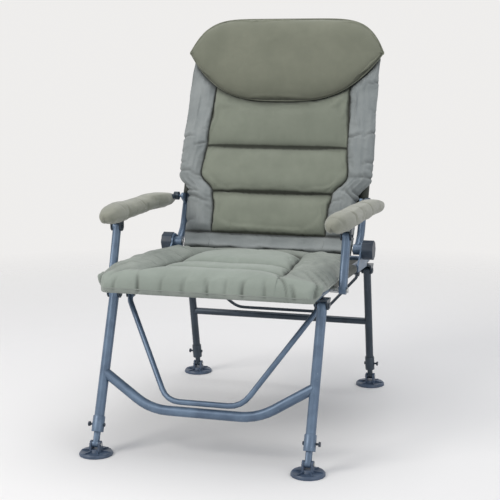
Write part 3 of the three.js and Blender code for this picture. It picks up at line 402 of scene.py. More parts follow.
def plastic(name, light, dark, roughness):
    """Moulded plastic with a fine matt grain."""
    n = Nodes(name)
    grain = n.noise(900, 3, 0.6)
    cloud = n.noise(30, 4, 0.6)
    colour = n.mix(n.span(cloud, 0.0, 1.0), dark, light)
    return n.finish(colour, n.span(cloud, roughness - 0.06, roughness + 0.1), n.bump(grain, 0.15, 0.0004))


def bright_metal(name):
    """Plated steel with faint brushing along its length."""
    n = Nodes(name)
    brushed = n.noise(500, 3, 0.6, stretch=(1, 1, 0.1))
    colour = n.mix(n.span(brushed, 0.0, 1.0), srgb(170, 174, 176), srgb(214, 216, 216))
    return n.finish(colour, n.span(brushed, 0.22, 0.4), n.bump(brushed, 0.1, 0.0003), Metallic=0.95)


PANEL = fleece("panel_fleece", srgb(136, 141, 127), srgb(121, 126, 113))
HEAD = fleece("headrest_fleece", srgb(124, 126, 111), srgb(109, 112, 98))
ARM = fleece("armrest_fleece", srgb(153, 153, 140), srgb(128, 130, 117), 0.35)
SEAT = fleece("seat_fleece", srgb(152, 160, 151), srgb(137, 145, 136))
SEAT_BORDER = nylon("seat_border_nylon", srgb(149, 155, 147), srgb(131, 138, 131))
BORDER = nylon("border_nylon", srgb(146, 151, 150), srgb(127, 133, 133))
PIPING = nylon("piping_nylon", srgb(66, 68, 60), srgb(50, 52, 46))
SLING = nylon("sling_polyester", srgb(62, 66, 58), srgb(46, 50, 44))
FRAME_BLUE = powder_coat("frame_paint", srgb(104, 124, 146), srgb(80, 98, 120), srgb(150, 162, 174))
FRAME_DARK = powder_coat("dark_frame_paint", srgb(60, 72, 84), srgb(44, 54, 64), srgb(104, 116, 126))
KNOB = plastic("knob_plastic", srgb(46, 60, 76), srgb(34, 44, 56), 0.45)
FOOT = plastic("foot_plastic", srgb(78, 94, 116), srgb(56, 70, 90), 0.42)
STEEL = bright_metal("zinc_steel")

LOOKS = {"frame_paint": FRAME_BLUE, "dark_frame_paint": FRAME_DARK, "bright_steel": STEEL,
         "black_plastic": KNOB, "foot_plastic": FOOT, "panel_fabric": PANEL, "headrest_fabric": HEAD,
         "border_fabric": BORDER, "armrest_fabric": ARM, "sling_fabric": SLING}

WELD_WITHIN = 0.00001
SHARP_FROM = math.radians(46)

# CAD nodes keep their shape: each gets the look of its slot, and shading splits at its sharp edges
SLOT_OF = {row["node"]: row["material_slot"] for row in frame["record"]["subparts"]}
for node_name, node in nodes.items():
    node.data.materials.clear()
    look = LOOKS[SLOT_OF[node_name]]
    if "collar" in node_name:
        look = FRAME_BLUE if node_name.startswith("front") else FRAME_DARK
    if "lock_pin" in node_name:
        look = KNOB
    node.data.materials.append(look)
    node.data.polygons.foreach_set("material_index", [0] * len(node.data.polygons))
    node.data.polygons.foreach_set("use_smooth", [True] * len(node.data.polygons))
    custom = node.data.attributes.get("custom_normal")
    if custom is not None:
        node.data.attributes.remove(custom)
    weld = node.modifiers.new("weld", "WELD")
    weld.merge_threshold = WELD_WITHIN
    split = node.modifiers.new("split", "EDGE_SPLIT")
    split.split_angle = SHARP_FROM
    split.use_edge_sharp = False


# ---------------------------------------------------------------- camera, floor and lights
camera_data = bpy.data.cameras.new("camera")
camera_data.lens = LENS_MM
camera_data.sensor_width = SENSOR_MM
camera = bpy.data.objects.new("camera", camera_data)
scene.collection.objects.link(camera)
view = Vector((-math.sin(YAW) * math.cos(PITCH), math.cos(YAW) * math.cos(PITCH), -math.sin(PITCH)))
turn = view.to_track_quat("-Z", "Y").to_matrix() @ Matrix.Rotation(ROLL, 3, "Z")
camera.matrix_world = Matrix.Translation(Vector(HINGE) + CAMERA_FROM_HINGE) @ turn.to_4x4()
scene.camera = camera

# A pale floor that fades into the pale surroundings, so that no horizon shows
FLOOR_HALF, FLOOR_BELOW = 4.0, 0.0005
FADE_FROM, FADE_TO = 1.1, 2.8
floor_look = Nodes("floor")
floor_look.finish((0.87, 0.86, 0.85, 1), 0.9)
far = floor_look.node("ShaderNodeVectorMath", operation="LENGTH")
floor_look.link(floor_look.place, far.inputs[0])
fade = floor_look.span(far.outputs["Value"], 0.0, 1.0, FADE_FROM, FADE_TO)
clear = floor_look.node("ShaderNodeBsdfTransparent")
floor_mix = floor_look.node("ShaderNodeMixShader")
floor_look.link(fade, floor_mix.inputs[0])
floor_look.link(floor_look.shader.outputs[0], floor_mix.inputs[1])
floor_look.link(clear.outputs[0], floor_mix.inputs[2])
floor_look.link(floor_mix.outputs[0], floor_look.out.inputs["Surface"])
corners = [(x * FLOOR_HALF, y * FLOOR_HALF, 0) for x, y in ((-1, -1), (1, -1), (1, 1), (-1, 1))]
floor = new_piece("floor", corners, [(0, 1, 2, 3)], floor_look.material, smooth=False)
floor.location.z = -FLOOR_BELOW

# Soft light from all round, while the camera and the reflections see a paler backdrop
world = bpy.data.worlds.new("world")
scene.world = world
world.use_nodes = True
world_tree = world.node_tree
background = world_tree.nodes["Background"]
background.inputs["Color"].default_value = (0.93, 0.95, 1.0, 1)
background.inputs["Strength"].default_value = 0.55
pale = world_tree.nodes.new("ShaderNodeBackground")
pale.inputs["Color"].default_value = (0.86, 0.85, 0.84, 1)
path_kind = world_tree.nodes.new("ShaderNodeLightPath")
seen = path_kind.outputs["Is Camera Ray"]
for kind in ("Is Glossy Ray", "Is Transmission Ray"):
    either = world_tree.nodes.new("ShaderNodeMath")
    either.operation = "MAXIMUM"
    world_tree.links.new(seen, either.inputs[0])
    world_tree.links.new(path_kind.outputs[kind], either.inputs[1])
    seen = either.outputs[0]
blend_sky = world_tree.nodes.new("ShaderNodeMixShader")
world_tree.links.new(seen, blend_sky.inputs[0])
world_tree.links.new(background.outputs[0], blend_sky.inputs[1])
world_tree.links.new(pale.outputs[0], blend_sky.inputs[2])
world_tree.links.new(blend_sky.outputs[0], world_tree.nodes["World Output"].inputs["Surface"])


def area_light(name, place, target, size, power, colour):
    """A rectangular light, size in metres, that faces its target."""
    data = bpy.data.lights.new(name, "AREA")
    data.shape = "RECTANGLE"
    data.size, data.size_y = size
    data.energy = power
    data.color = colour
    light = bpy.data.objects.new(name, data)
    scene.collection.objects.link(light)
    light.location = place
    light.rotation_euler = (Vector(target) - Vector(place)).to_track_quat("-Z", "Y").to_euler()


area_light("key", (-2.2, -2.4, 2.6), (0, 0, 0.6), (1.6, 1.6), 62, (1.0, 0.98, 0.95))
area_light("fill", (2.6, -1.8, 1.4), (0, 0, 0.6), (2.0, 1.6), 16, (0.93, 0.96, 1.0))
area_light("top", (0.2, 0.6, 3.0), (0, 0, 0.7), (1.8, 1.8), 30, (1, 1, 1))
scene.view_settings.view_transform = "Standard"


# ---------------------------------------------------------------- gathered cloth
def creases(seed, first, last, spacing, depth, width, reach):
    """Folds across a border: (place, from the outer edge?, reach, slant, depth, width)."""
    rng = np.random.default_rng(seed)
    folds = []
    place = first
    while place < last:
        folds.append((place, rng.random() < 0.5, reach * rng.uniform(0.5, 1.1), rng.uniform(-0.5, 0.5),
                      depth * rng.uniform(0.4, 1.1), width * rng.uniform(0.7, 1.4)))
        place += spacing * rng.uniform(0.5, 1.6)
    return folds


def fold_depth(folds, across, along, border_width):
    """How far the folds push the cloth in at (across 0 seam..1 edge, along in metres)."""
    total = np.zeros(np.broadcast(across, along).shape)
    for place, outer, reach, slant, depth, width in folds:
        start = 1 - across if outer else across
        fade = np.clip(1 - start / reach, 0, 1) ** 0.7
        crease = place + slant * start * border_width + 0.002 * np.sin(start * 9 + place * 300)
        off = (along - crease) / width
        total += depth * fade * (np.exp(-(off ** 2)) - 0.35 * np.exp(-(((np.abs(off) - 1.9) / 0.9) ** 2)))
    return total


def both_sides(side, left, right, across, along, border_width):
    """The folds of the left border where side is negative, and of the right one elsewhere."""
    return np.where(side < 0, fold_depth(left, across, along, border_width),
                    fold_depth(right, across, along, border_width))


def line(offset, width):
    """A soft line: 1 on it, fading within about the width."""
    return np.exp(-((offset / width) ** 2))


def strip(count_border, count_panel):
    """Column places from -2 to 2: the borders lie between 1 and 2, the panel between -1 and 1."""
    border = 1 + (1 - np.cos(np.linspace(0, math.pi, count_border + 1))) / 2
    panel = np.sin(np.linspace(-math.pi / 2, math.pi / 2, count_panel + 1))
    panel = 0.55 * panel + 0.45 * np.linspace(-1, 1, count_panel + 1)
    return np.concatenate([-border[::-1], panel[1:-1], border])


def rows_between(marks, step):
    """Row places that hit every mark, closer together next to each."""
    rows = [marks[0]]
    for low, high in zip(marks[:-1], marks[1:]):
        count = max(6, int(round((high - low) / step)))
        t = np.linspace(0, 1, count + 1)[1:]
        rows += list(low + (high - low) * (0.5 * t + 0.5 * (1 - np.cos(math.pi * t)) / 2))
    return np.array(rows)


def set_painted_shade(piece, values):
    """Stores the painted shade of each point of the upper side: seams, folds and undersides are drawn darker."""
    depth = np.zeros(len(piece.data.vertices))
    depth[: values.size] = np.clip(values, 0, 1).ravel()
    piece.data.attributes.new("painted_shade", "FLOAT", "POINT").data.foreach_set("value", depth)


ON_SEAM = 1e-6
ROW_STEP = 0.0050


def pins(number, held_mask, count):
    """Full pins on the sewn lines, the rim and the whole underside."""
    held = np.ones(count)
    held[number.ravel()] = held_mask.ravel()
    held[number[[0, -1]].ravel()] = held[number[:, [0, -1]].ravel()] = 1
    return held


# ---------------------------------------------------------------- headrest outline
HEAD_END, HEAD_TOP, HEAD_LOW, HEAD_HALF = 0.573, 0.105, 0.146, 0.290
HEAD_REST, HEAD_THICK, HEAD_RIM_SHARE = -0.0024, 0.046, 0.3


def head_low_at(x):
    """How far down the headrest reaches at x, up the back."""
    return HEAD_END - HEAD_LOW * np.clip(1 - np.abs(x / HEAD_HALF) ** 3.1, 0.05, 1)


# ---------------------------------------------------------------- back cushion
BACK_LOW, BACK_SEAM, BACK_TOP = -0.018, 0.032, 0.600
BACK_MARKS = np.array([BACK_LOW, BACK_SEAM, 0.154, 0.290, 0.700])
back_half = through([(BACK_LOW, 0.244), (0.02, 0.247), (0.05, 0.250), (0.13, 0.252), (0.154, 0.256),
                     (0.200, 0.287), (0.30, 0.286), (0.45, 0.282), (0.56, 0.280), (BACK_TOP, 0.262)])
back_panel = through([(BACK_LOW, 0.166), (0.10, 0.168), (0.150, 0.176), (0.205, 0.216), (0.306, 0.208),
                      (0.472, 0.200), (BACK_TOP, 0.194)])
BACK_REST, BACK_SEAM_AHEAD, BACK_TUCKED = -0.0165, -0.001, -0.0036
PANEL_PUFF, BORDER_PUFF, BAND_SHARE, ROW_SHARE = 0.0225, 0.0215, 0.62, 1.05
BACK_RIM_RISE, RIM_UNTUCKED = 0.006, 0.008
TUCK, TUCK_FROM = 0.045, 0.30
BACK_BORDER_WIDTH = 0.08
BACK_CREASE = {"depth": 0.0016, "width": 0.0026, "reach": 0.5}
BACK_FOLDS_LEFT = [
    (0.142, True, 1.05, -0.30, 0.0075, 0.0050), (0.132, False, 0.45, 0.3, 0.0045, 0.0035),
    (0.158, True, 0.55, -0.25, 0.0060, 0.0036), (0.172, True, 0.45, -0.5, 0.0050, 0.0032),
    (0.184, False, 0.4, 0.5, 0.0045, 0.0032), (0.199, False, 0.55, 0.25, 0.0060, 0.0038),
    (0.211, True, 0.75, 0.08, 0.0070, 0.0042), (0.236, True, 0.4, 0.1, 0.0045, 0.0034),
    (0.252, False, 0.3, -0.2, 0.0035, 0.0032), (0.270, True, 0.35, 0.3, 0.0040, 0.0034),
    (0.297, False, 0.5, -0.2, 0.0060, 0.0036), (0.313, True, 0.6, 0.12, 0.0060, 0.0040),
    (0.345, False, 0.3, -0.3, 0.0030, 0.0034), (0.062, True, 0.4, 0.2, 0.0040, 0.0045),
    (0.100, False, 0.35, 0.3, 0.0035, 0.0045)]
BACK_FOLDS_RIGHT = [
    (0.128, False, 0.5, 0.35, 0.0050, 0.0036), (0.138, True, 0.85, 0.55, 0.0070, 0.0046),
    (0.152, True, 0.65, 0.6, 0.0060, 0.0040), (0.166, False, 0.4, -0.2, 0.0040, 0.0034),
    (0.207, True, 1.1, -0.04, 0.0070, 0.0044), (0.228, True, 0.3, 0.2, 0.0040, 0.0034),
    (0.252, True, 0.5, -0.25, 0.0055, 0.0040), (0.262, False, 0.3, 0.2, 0.0035, 0.0032),
    (0.322, False, 0.65, 0.2, 0.0060, 0.0040), (0.338, True, 0.5, -0.35, 0.0055, 0.0038),
    (0.400, True, 0.25, 0.3, 0.0030, 0.0034), (0.488, True, 0.45, -0.2, 0.0050, 0.0040),
    (0.070, True, 0.4, -0.2, 0.0040, 0.0045), (0.098, False, 0.4, 0.2, 0.0040, 0.0045)]


def back_cushion():
    """Sewn rows between gathered borders: c runs across as strip says, s up the back in metres."""
    c, s = np.meshgrid(strip(26, 70), rows_between(list(BACK_MARKS[:-1]) + [BACK_TOP], ROW_STEP))
    side, across = np.sign(c), np.clip(np.abs(c) - 1, 0, 1)
    half, panel = back_half(s), back_panel(s)
    in_border = (np.abs(c) > 1) & (s > BACK_SEAM)
    x = np.where(np.abs(c) > 1, side * (panel + (half - panel) * across), c * panel)
    # Panels are pillows between the sewn rows, eta from -1 to 1 up each, and the lowest is the band
    k = np.clip(np.searchsorted(BACK_MARKS, s, side="right") - 1, 0, 3)
    eta = 2 * (s - BACK_MARKS[k]) / (BACK_MARKS[k + 1] - BACK_MARKS[k]) - 1
    end = np.where(k == 0, c / 2, np.where(in_border, 1, c))
    puff = crown(eta, 3.2, 0.55) * crown(end, np.where(k == 0, 30, 9), 0.5)
    full = PANEL_PUFF * np.where(k == 0, BAND_SHARE, ROW_SHARE) * (1 - 0.12 * eta)
    panel_ahead = BACK_SEAM_AHEAD + full * puff + 0.0010 * noise(x, s, 0.07, 11) * puff
    # Side borders are soft rolls, gathered here and there
    sunk = both_sides(side, BACK_FOLDS_LEFT, BACK_FOLDS_RIGHT, across, s, BACK_BORDER_WIDTH)
    small = both_sides(side, creases(3, 0.05, 0.5, 0.017, **BACK_CREASE),
                       creases(8, 0.05, 0.5, 0.019, **BACK_CREASE), across, s, BACK_BORDER_WIDTH)
    roll = crown(2 * across - 1, 2.3, 0.55)
    start = np.clip((s - BACK_SEAM) / 0.02, 0, 1) ** 0.5
    border_ahead = BACK_SEAM_AHEAD - 0.006 * across + BORDER_PUFF * start * roll \
        * (1 + 0.10 * noise(s, c, 0.06, 5)) - (sunk + small) * (0.25 + 0.75 * roll)
    ahead = np.where(in_border, border_ahead, panel_ahead)
    drawn_in = sunk * 0.5 + 0.0018 * (1 + noise(s, side, 0.03, 21))
    x += np.where(in_border, -side * across ** 3 * drawn_in, 0)
    # Fine puckers run into the sewn rows
    near = line((np.abs(eta) - 1) * 7, 1) * ~in_border
    pucker = np.clip(noise(x, s * 0.2, 0.011, 31) - 0.1, 0, 1)
    ahead -= 0.0007 * near * pucker
    # The cushion is pressed flat where the headrest covers it
    free = np.clip((head_low_at(x) - s) / TUCK, 0, 1)
    free = np.sqrt(free * (2 - free))
    ahead = np.where(s > TUCK_FROM, BACK_TUCKED + (ahead - BACK_TUCKED) * free, ahead)
    # The band's lower edge turns forward to meet the seat
    ahead += 0.9 * np.clip(0.002 - s, 0, 1)
    rim = BACK_REST + BACK_RIM_RISE + RIM_UNTUCKED * np.clip(free, 0, 1)
    edge = crown(2 * (s - BACK_LOW) / (BACK_TOP - BACK_LOW) - 1, 60, 0.5) * crown(c / 2, 46, 0.5)
    ahead = rim + (ahead - rim) * edge
    front = np.stack([x, ahead, s], -1)
    back = np.stack([x, rim + (BACK_REST - rim) * edge, s], -1)
    points, faces, number = two_sided(front, back)
    piece = new_piece("back_cushion_cloth", back_to_row(points), faces[:, ::-1], [PANEL, BORDER])
    quad_c = np.abs((c[:-1, :-1] + c[1:, 1:]) / 2).ravel()
    quad_s = ((s[:-1, :-1] + s[1:, 1:]) / 2).ravel()
    mask = np.ones(len(faces), bool)
    mask[: len(quad_c)] = (quad_c > 1) | (quad_s < BACK_SEAM)
    pick(mask, piece, 1)
    # Painted shade: darker along the sewn rows, the low seam, the lower edge and the side seams, in the gathered
    # folds and puckers, and where the headrest covers the cushion
    rows = np.min([np.abs(s - mark) for mark in BACK_MARKS[2:4]], axis=0)
    sewn_rows = np.where(in_border, 0, 1) * (line(rows, 0.0040) + 0.30 * line(rows, 0.014))
    low_row = line(s - BACK_SEAM, 0.0040) + 0.3 * line(s - BACK_SEAM, 0.012)
    low_edge = 0.6 * line(s - BACK_LOW, 0.008)
    off_side = (np.abs(c) - 1) * np.where(np.abs(c) > 1, BACK_BORDER_WIDTH, 0.2)
    sides = line(off_side, 0.0030) * (s > BACK_SEAM)
    shade = np.maximum.reduce([sewn_rows, low_row, low_edge, sides,
                               np.where(in_border, 90 * sunk, 0), 0.15 * near * pucker])
    set_painted_shade(piece, np.maximum(shade, 0.75 * (1 - free) * (s > TUCK_FROM)))
    sewn = (np.abs(np.abs(c) - 1) < ON_SEAM) | (rows < ON_SEAM) | (np.abs(s - BACK_SEAM) < ON_SEAM)
    held = pins(number, sewn | (free < 0.3), len(points))
    inflate(piece, held, pressure=3.0, cap=0.005, grow=0.012)
    return piece


cushion = back_cushion()
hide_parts("back_cushion", "back_lower_band")
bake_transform(cushion)


def back_piping(side_name, sign):
    """Covered cord in the seam between the panels and a side border."""
    s = np.linspace(BACK_SEAM + 0.004, 0.520, 140)
    s = s[s < head_low_at(back_panel(s)) - 0.006]
    path = np.stack([sign * back_panel(s), np.full_like(s, BACK_SEAM_AHEAD + 0.0012), s], -1)
    return tube(f"back_piping_{side_name}", back_to_row(path), BACK_CORD, PIPING)


for side_name, sign in SIDES:
    cord = back_piping(side_name, sign)
    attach(cord, "back")


# ---------------------------------------------------------------- headrest
def crowded(count):
    """Places from -1 to 1 that lie closer together near both ends."""
    return 0.6 * np.sin(np.linspace(-math.pi / 2, math.pi / 2, count)) + 0.4 * np.linspace(-1, 1, count)


def headrest():
    """The headrest and its covered cord: u runs across, v up, both from -1 to 1."""
    u, v = np.meshgrid(crowded(96), crowded(66))
    top = HEAD_TOP * np.clip(1 - np.abs(u) ** 6.6, 0.02, 1)
    low = HEAD_LOW * np.clip(1 - np.abs(u) ** 3.1, 0.02, 1)
    s = HEAD_END + np.where(v > 0, top * v, low * v)
    x = u * HEAD_HALF
    body = crown(u, 3.4, 0.5) * crown(v, 2.8, 0.5)
    rim = HEAD_REST + HEAD_THICK * HEAD_RIM_SHARE
    swell = 1 + 0.10 * np.clip(-v, 0, 1) + 0.04 * noise(x, s, 0.09, 51)
    flat = crown(u, 12, 0.5) * crown(v, 12, 0.5)
    front = np.stack([x, rim + HEAD_THICK * (1 - HEAD_RIM_SHARE) * body * swell, s], -1)
    back = np.stack([x, rim - HEAD_THICK * HEAD_RIM_SHARE * flat, s], -1)
    points, faces, number = two_sided(front, back)
    piece = new_piece("headrest_cloth", back_to_row(points), faces[:, ::-1], HEAD)
    # Painted shade over the lower half: darker along its edges and towards the bottom, under the bulge
    away = np.minimum(1 - np.abs(u), (1 - np.abs(v)) * 0.5)
    set_painted_shade(piece, (0.55 * line(away, 0.035) + 0.16 * line(1 - np.abs(v), 0.22)) * (v < 0.0))
    held = pins(number, np.zeros(u.shape), len(points))
    inflate(piece, held, pressure=3.0, cap=0.005, grow=0.015)
    outline = np.concatenate([front[0], front[1:, -1], front[-1, ::-1][1:], front[::-1, 0][1:-1]])
    cord = tube("headrest_piping", back_to_row(outline), HEAD_CORD, HEAD, closed=True)
    return piece, cord


head, head_piping = headrest()
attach(head, "back")
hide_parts("headrest_cushion")
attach(head_piping, "back")


# ---------------------------------------------------------------- seat cushion
SEAT_FRONT, SEAT_REAR, SEAT_ARC = -0.056, 0.484, 0.442
SEAT_MARKS = np.array([SEAT_FRONT, 0.066, 0.188, SEAT_ARC, SEAT_REAR])
seat_half = through([(SEAT_FRONT, 0.262), (-0.018, 0.288), (0.025, 0.292), (0.112, 0.289), (0.302, 0.282),
                     (0.405, 0.263), (SEAT_REAR, 0.240)])
seat_panel = through([(SEAT_FRONT, 0.176), (0.030, 0.172), (0.128, 0.162), (0.258, 0.148), (0.432, 0.138),
                      (SEAT_REAR, 0.136)])
seat_bend = through([(0.0, 0.0), (0.066, 0.004), (0.188, 0.010), (SEAT_ARC, 0.072), (SEAT_REAR, 0.0)])
SEAT_BASE, SEAT_SEAM_RISE, SEAT_LIP = 0.0113, 0.0245, 0.024
SEAT_RIM_RISE, LIP_SHARE = 0.012, 0.85
SEAT_BORDER_WIDTH, SEAT_CORD_HALF = 0.12, 0.255
SEAT_CREASE = {"depth": 0.0018, "width": 0.0028, "reach": 0.5}
FRONT_PUCKERS = [(-0.235, 0.2, 0.005, 0.006), (-0.170, -0.15, 0.009, 0.006), (-0.112, 0.2, 0.004, 0.005),
                 (-0.056, 0.1, 0.006, 0.006), (0.006, -0.2, 0.008, 0.006), (0.050, 0.15, 0.004, 0.005),
                 (0.094, 0.1, 0.009, 0.006), (0.150, -0.15, 0.005, 0.006), (0.222, -0.35, 0.008, 0.006)]
SEAT_FOLDS_LEFT = [
    (-0.034, True, 0.9, 0.9, 0.0080, 0.0050), (-0.012, True, 0.6, 0.6, 0.0065, 0.0045),
    (0.010, False, 0.8, -0.5, 0.0075, 0.0050), (0.030, False, 0.5, -0.8, 0.0055, 0.0040),
    (0.064, True, 0.4, 0.3, 0.0040, 0.0040), (0.104, False, 0.4, -0.3, 0.0045, 0.0040),
    (0.150, False, 0.45, 0.2, 0.0050, 0.0042), (0.206, True, 0.35, -0.2, 0.0040, 0.0042),
    (0.262, False, 0.4, 0.3, 0.0045, 0.0042), (0.318, True, 0.5, 0.2, 0.0045, 0.0045),
    (0.362, False, 0.7, 0.5, 0.0065, 0.0048), (0.392, True, 0.5, -0.3, 0.0050, 0.0045)]
SEAT_FOLDS_RIGHT = [
    (-0.040, True, 0.8, 1.0, 0.0080, 0.0050), (-0.020, False, 0.9, -0.9, 0.0080, 0.0050),
    (0.004, True, 0.7, 0.7, 0.0070, 0.0046), (0.024, False, 0.8, -0.5, 0.0070, 0.0046),
    (0.046, True, 0.5, 0.4, 0.0055, 0.0042), (0.070, False, 0.5, -0.4, 0.0050, 0.0042),
    (0.098, True, 0.4, 0.2, 0.0045, 0.0042), (0.140, False, 0.5, 0.2, 0.0045, 0.0042),
    (0.214, False, 0.4, -0.3, 0.0045, 0.0042), (0.286, True, 0.4, 0.2, 0.0040, 0.0042),
    (0.350, False, 0.6, 0.4, 0.0060, 0.0048), (0.388, True, 0.6, -0.3, 0.0055, 0.0048)]


def seat_cushion():
    """Like the back cushion, but lying: a0 is the place along the cloth before its seams bend."""
    c, a0 = np.meshgrid(strip(32, 70), rows_between(list(SEAT_MARKS), ROW_STEP))
    side, across = np.sign(c), np.clip(np.abs(c) - 1, 0, 1)
    in_border = (np.abs(c) > 1) & (a0 < SEAT_ARC)
    half, panel = seat_half(a0), seat_panel(a0)
    x = np.where(np.abs(c) > 1, side * (panel + (half - panel) * across), c * panel)
    a = a0 - seat_bend(a0) * np.clip(np.abs(c), 0, 1) ** 2.2
    k = np.clip(np.searchsorted(SEAT_MARKS, a0, side="right") - 1, 0, 3)
    eta = 2 * (a0 - SEAT_MARKS[k]) / (SEAT_MARKS[k + 1] - SEAT_MARKS[k]) - 1
    eta = np.where((k == 0) & (eta < 0), eta * 0.7, eta)
    # The seam beside the panel fades out into the soft front edge
    seam = np.clip((a0 + 0.035) / 0.075, 0, 1)
    seam = seam * seam * (3 - 2 * seam)
    end = np.where(k == 3, c / 2, np.where(in_border, 1, c))
    puff = crown(eta, 3.0, 0.55) * (1 - (1 - crown(end, np.where(k == 3, 30, 8), 0.5)) * seam)
    panel_rise = SEAT_SEAM_RISE + puff * np.where(k == 3, 0.0145, np.where(k == 1, 0.0190, 0.0240))
    roll = crown(2 * across - 1, 2.1, 0.55)
    rest = np.clip((SEAT_ARC - a0) / 0.02, 0, 1) ** 0.5
    sunk = both_sides(side, SEAT_FOLDS_LEFT, SEAT_FOLDS_RIGHT, across, a0, SEAT_BORDER_WIDTH)
    small = both_sides(side, creases(13, -0.04, 0.43, 0.016, **SEAT_CREASE),
                       creases(18, -0.04, 0.43, 0.016, **SEAT_CREASE), across, a0, SEAT_BORDER_WIDTH)
    flat_front = crown(eta, 3.0, 0.55) * 0.0225
    lifted = roll * 0.0340 * (1 + 0.10 * noise(a0, c, 0.07, 6)) * rest
    lifted = lifted * seam + np.maximum(flat_front - 0.01 * across, 0) * (1 - seam)
    border_rise = SEAT_SEAM_RISE - 0.006 * across + lifted - (sunk + small) * (0.3 + 0.7 * roll)
    rise = np.where(in_border, border_rise, panel_rise)
    rise += 0.0012 * noise(x, a, 0.07, 12) * puff
    # Puckers run back from the front seam
    near = np.clip(1 - (a0 - SEAT_FRONT) / 0.019, 0, 1) ** 0.9
    pucker = np.zeros(c.shape)
    for place, slant, depth, width in FRONT_PUCKERS:
        pucker += depth * near * line(x - place - 2 * slant * (a0 - SEAT_FRONT), 0.7 * width)
    rise -= pucker
    a = a + 0.5 * pucker
    drawn_in = sunk * 0.5 + 0.002 * (1 + noise(a0, side, 0.03, 22))
    x += np.where(in_border, -side * across ** 3 * drawn_in, 0)
    lip = SEAT_LIP * np.clip((-a - 2 * RAIL_RADIUS) / 0.014, 0, 1)
    rim = SEAT_BASE + SEAT_RIM_RISE - lip * LIP_SHARE
    share = 2 * (a0 - SEAT_FRONT) / (SEAT_REAR - SEAT_FRONT) - 1
    edge = crown(share, np.where(share < 0, 17, 40), 0.5) * crown(c / 2, 46, 0.5)
    top = rim + (rise - rim) * edge
    low = rim + (SEAT_BASE - lip - rim) * crown(share, 40, 0.5) * crown(c / 2, 60, 0.5)
    points, faces, number = two_sided(np.stack([x, a, top], -1), np.stack([x, a, low], -1))
    piece = new_piece("seat_cushion_cloth", seat_to_row(points), faces, [SEAT, SEAT_BORDER])
    quad_c = np.abs((c[:-1, :-1] + c[1:, 1:]) / 2).ravel()
    quad_a = ((a0[:-1, :-1] + a0[1:, 1:]) / 2).ravel()
    mask = np.ones(len(faces), bool)
    mask[: len(quad_c)] = ((quad_c > 1) & (quad_a > -0.02)) | (quad_a > SEAT_ARC)
    pick(mask, piece, 1)
    # Painted shade: darker along the sewn rows, the rear arc and the side seams, in the folds and at the front
    # puckers
    rows = np.min([np.abs(a0 - mark) for mark in SEAT_MARKS[1:3]], axis=0)
    sewn_rows = np.where(in_border, 0, 1.0) * (line(rows, 0.0050) + 0.45 * line(rows, 0.020))
    arc_line = line(a0 - SEAT_ARC, 0.0050) + 0.3 * line(a0 - SEAT_ARC, 0.018)
    arc = np.where(np.abs(c) <= 1, 1.0, 0.7 * np.clip(1 - across * 1.5, 0, 1)) * arc_line
    off_side = (np.abs(c) - 1) * np.where(np.abs(c) > 1, SEAT_BORDER_WIDTH, 0.16)
    sides = line(off_side, 0.0046) * (a0 < SEAT_ARC) * seam
    shade = np.maximum.reduce([sewn_rows, arc, sides, np.where(in_border, 80 * sunk, 0), 70 * pucker])
    set_painted_shade(piece, shade)
    sewn = ((np.abs(np.abs(c) - 1) < ON_SEAM) & (seam > 0.3)) | ((rows < ON_SEAM) & ~in_border)
    held = pins(number, sewn | (np.abs(a0 - SEAT_ARC) < ON_SEAM), len(points))
    inflate(piece, held, pressure=3.0, cap=0.004, grow=0.010)
    return piece


seat = seat_cushion()
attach(seat, "seat")
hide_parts("seat_cushion")


def seat_piping():
    """Covered cord along the lower front seam, between the top cloth and the underside."""
    x = np.linspace(-SEAT_CORD_HALF, SEAT_CORD_HALF, 90)
    a = np.full_like(x, SEAT_FRONT + 0.0006)
    rise = np.full_like(x, SEAT_BASE + SEAT_RIM_RISE - SEAT_LIP * LIP_SHARE)
    return tube("seat_piping", seat_to_row(np.stack([x, a, rise], -1)), SEAT_CORD, SEAT_BORDER)


cord = seat_piping()
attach(cord, "seat")


# ---------------------------------------------------------------- armrest pads
ARM_RINGS, ARM_SIDES = 110, 56
UNDERSIDE, UNDERSIDE_PINNED = 1.5 * math.pi, 0.14


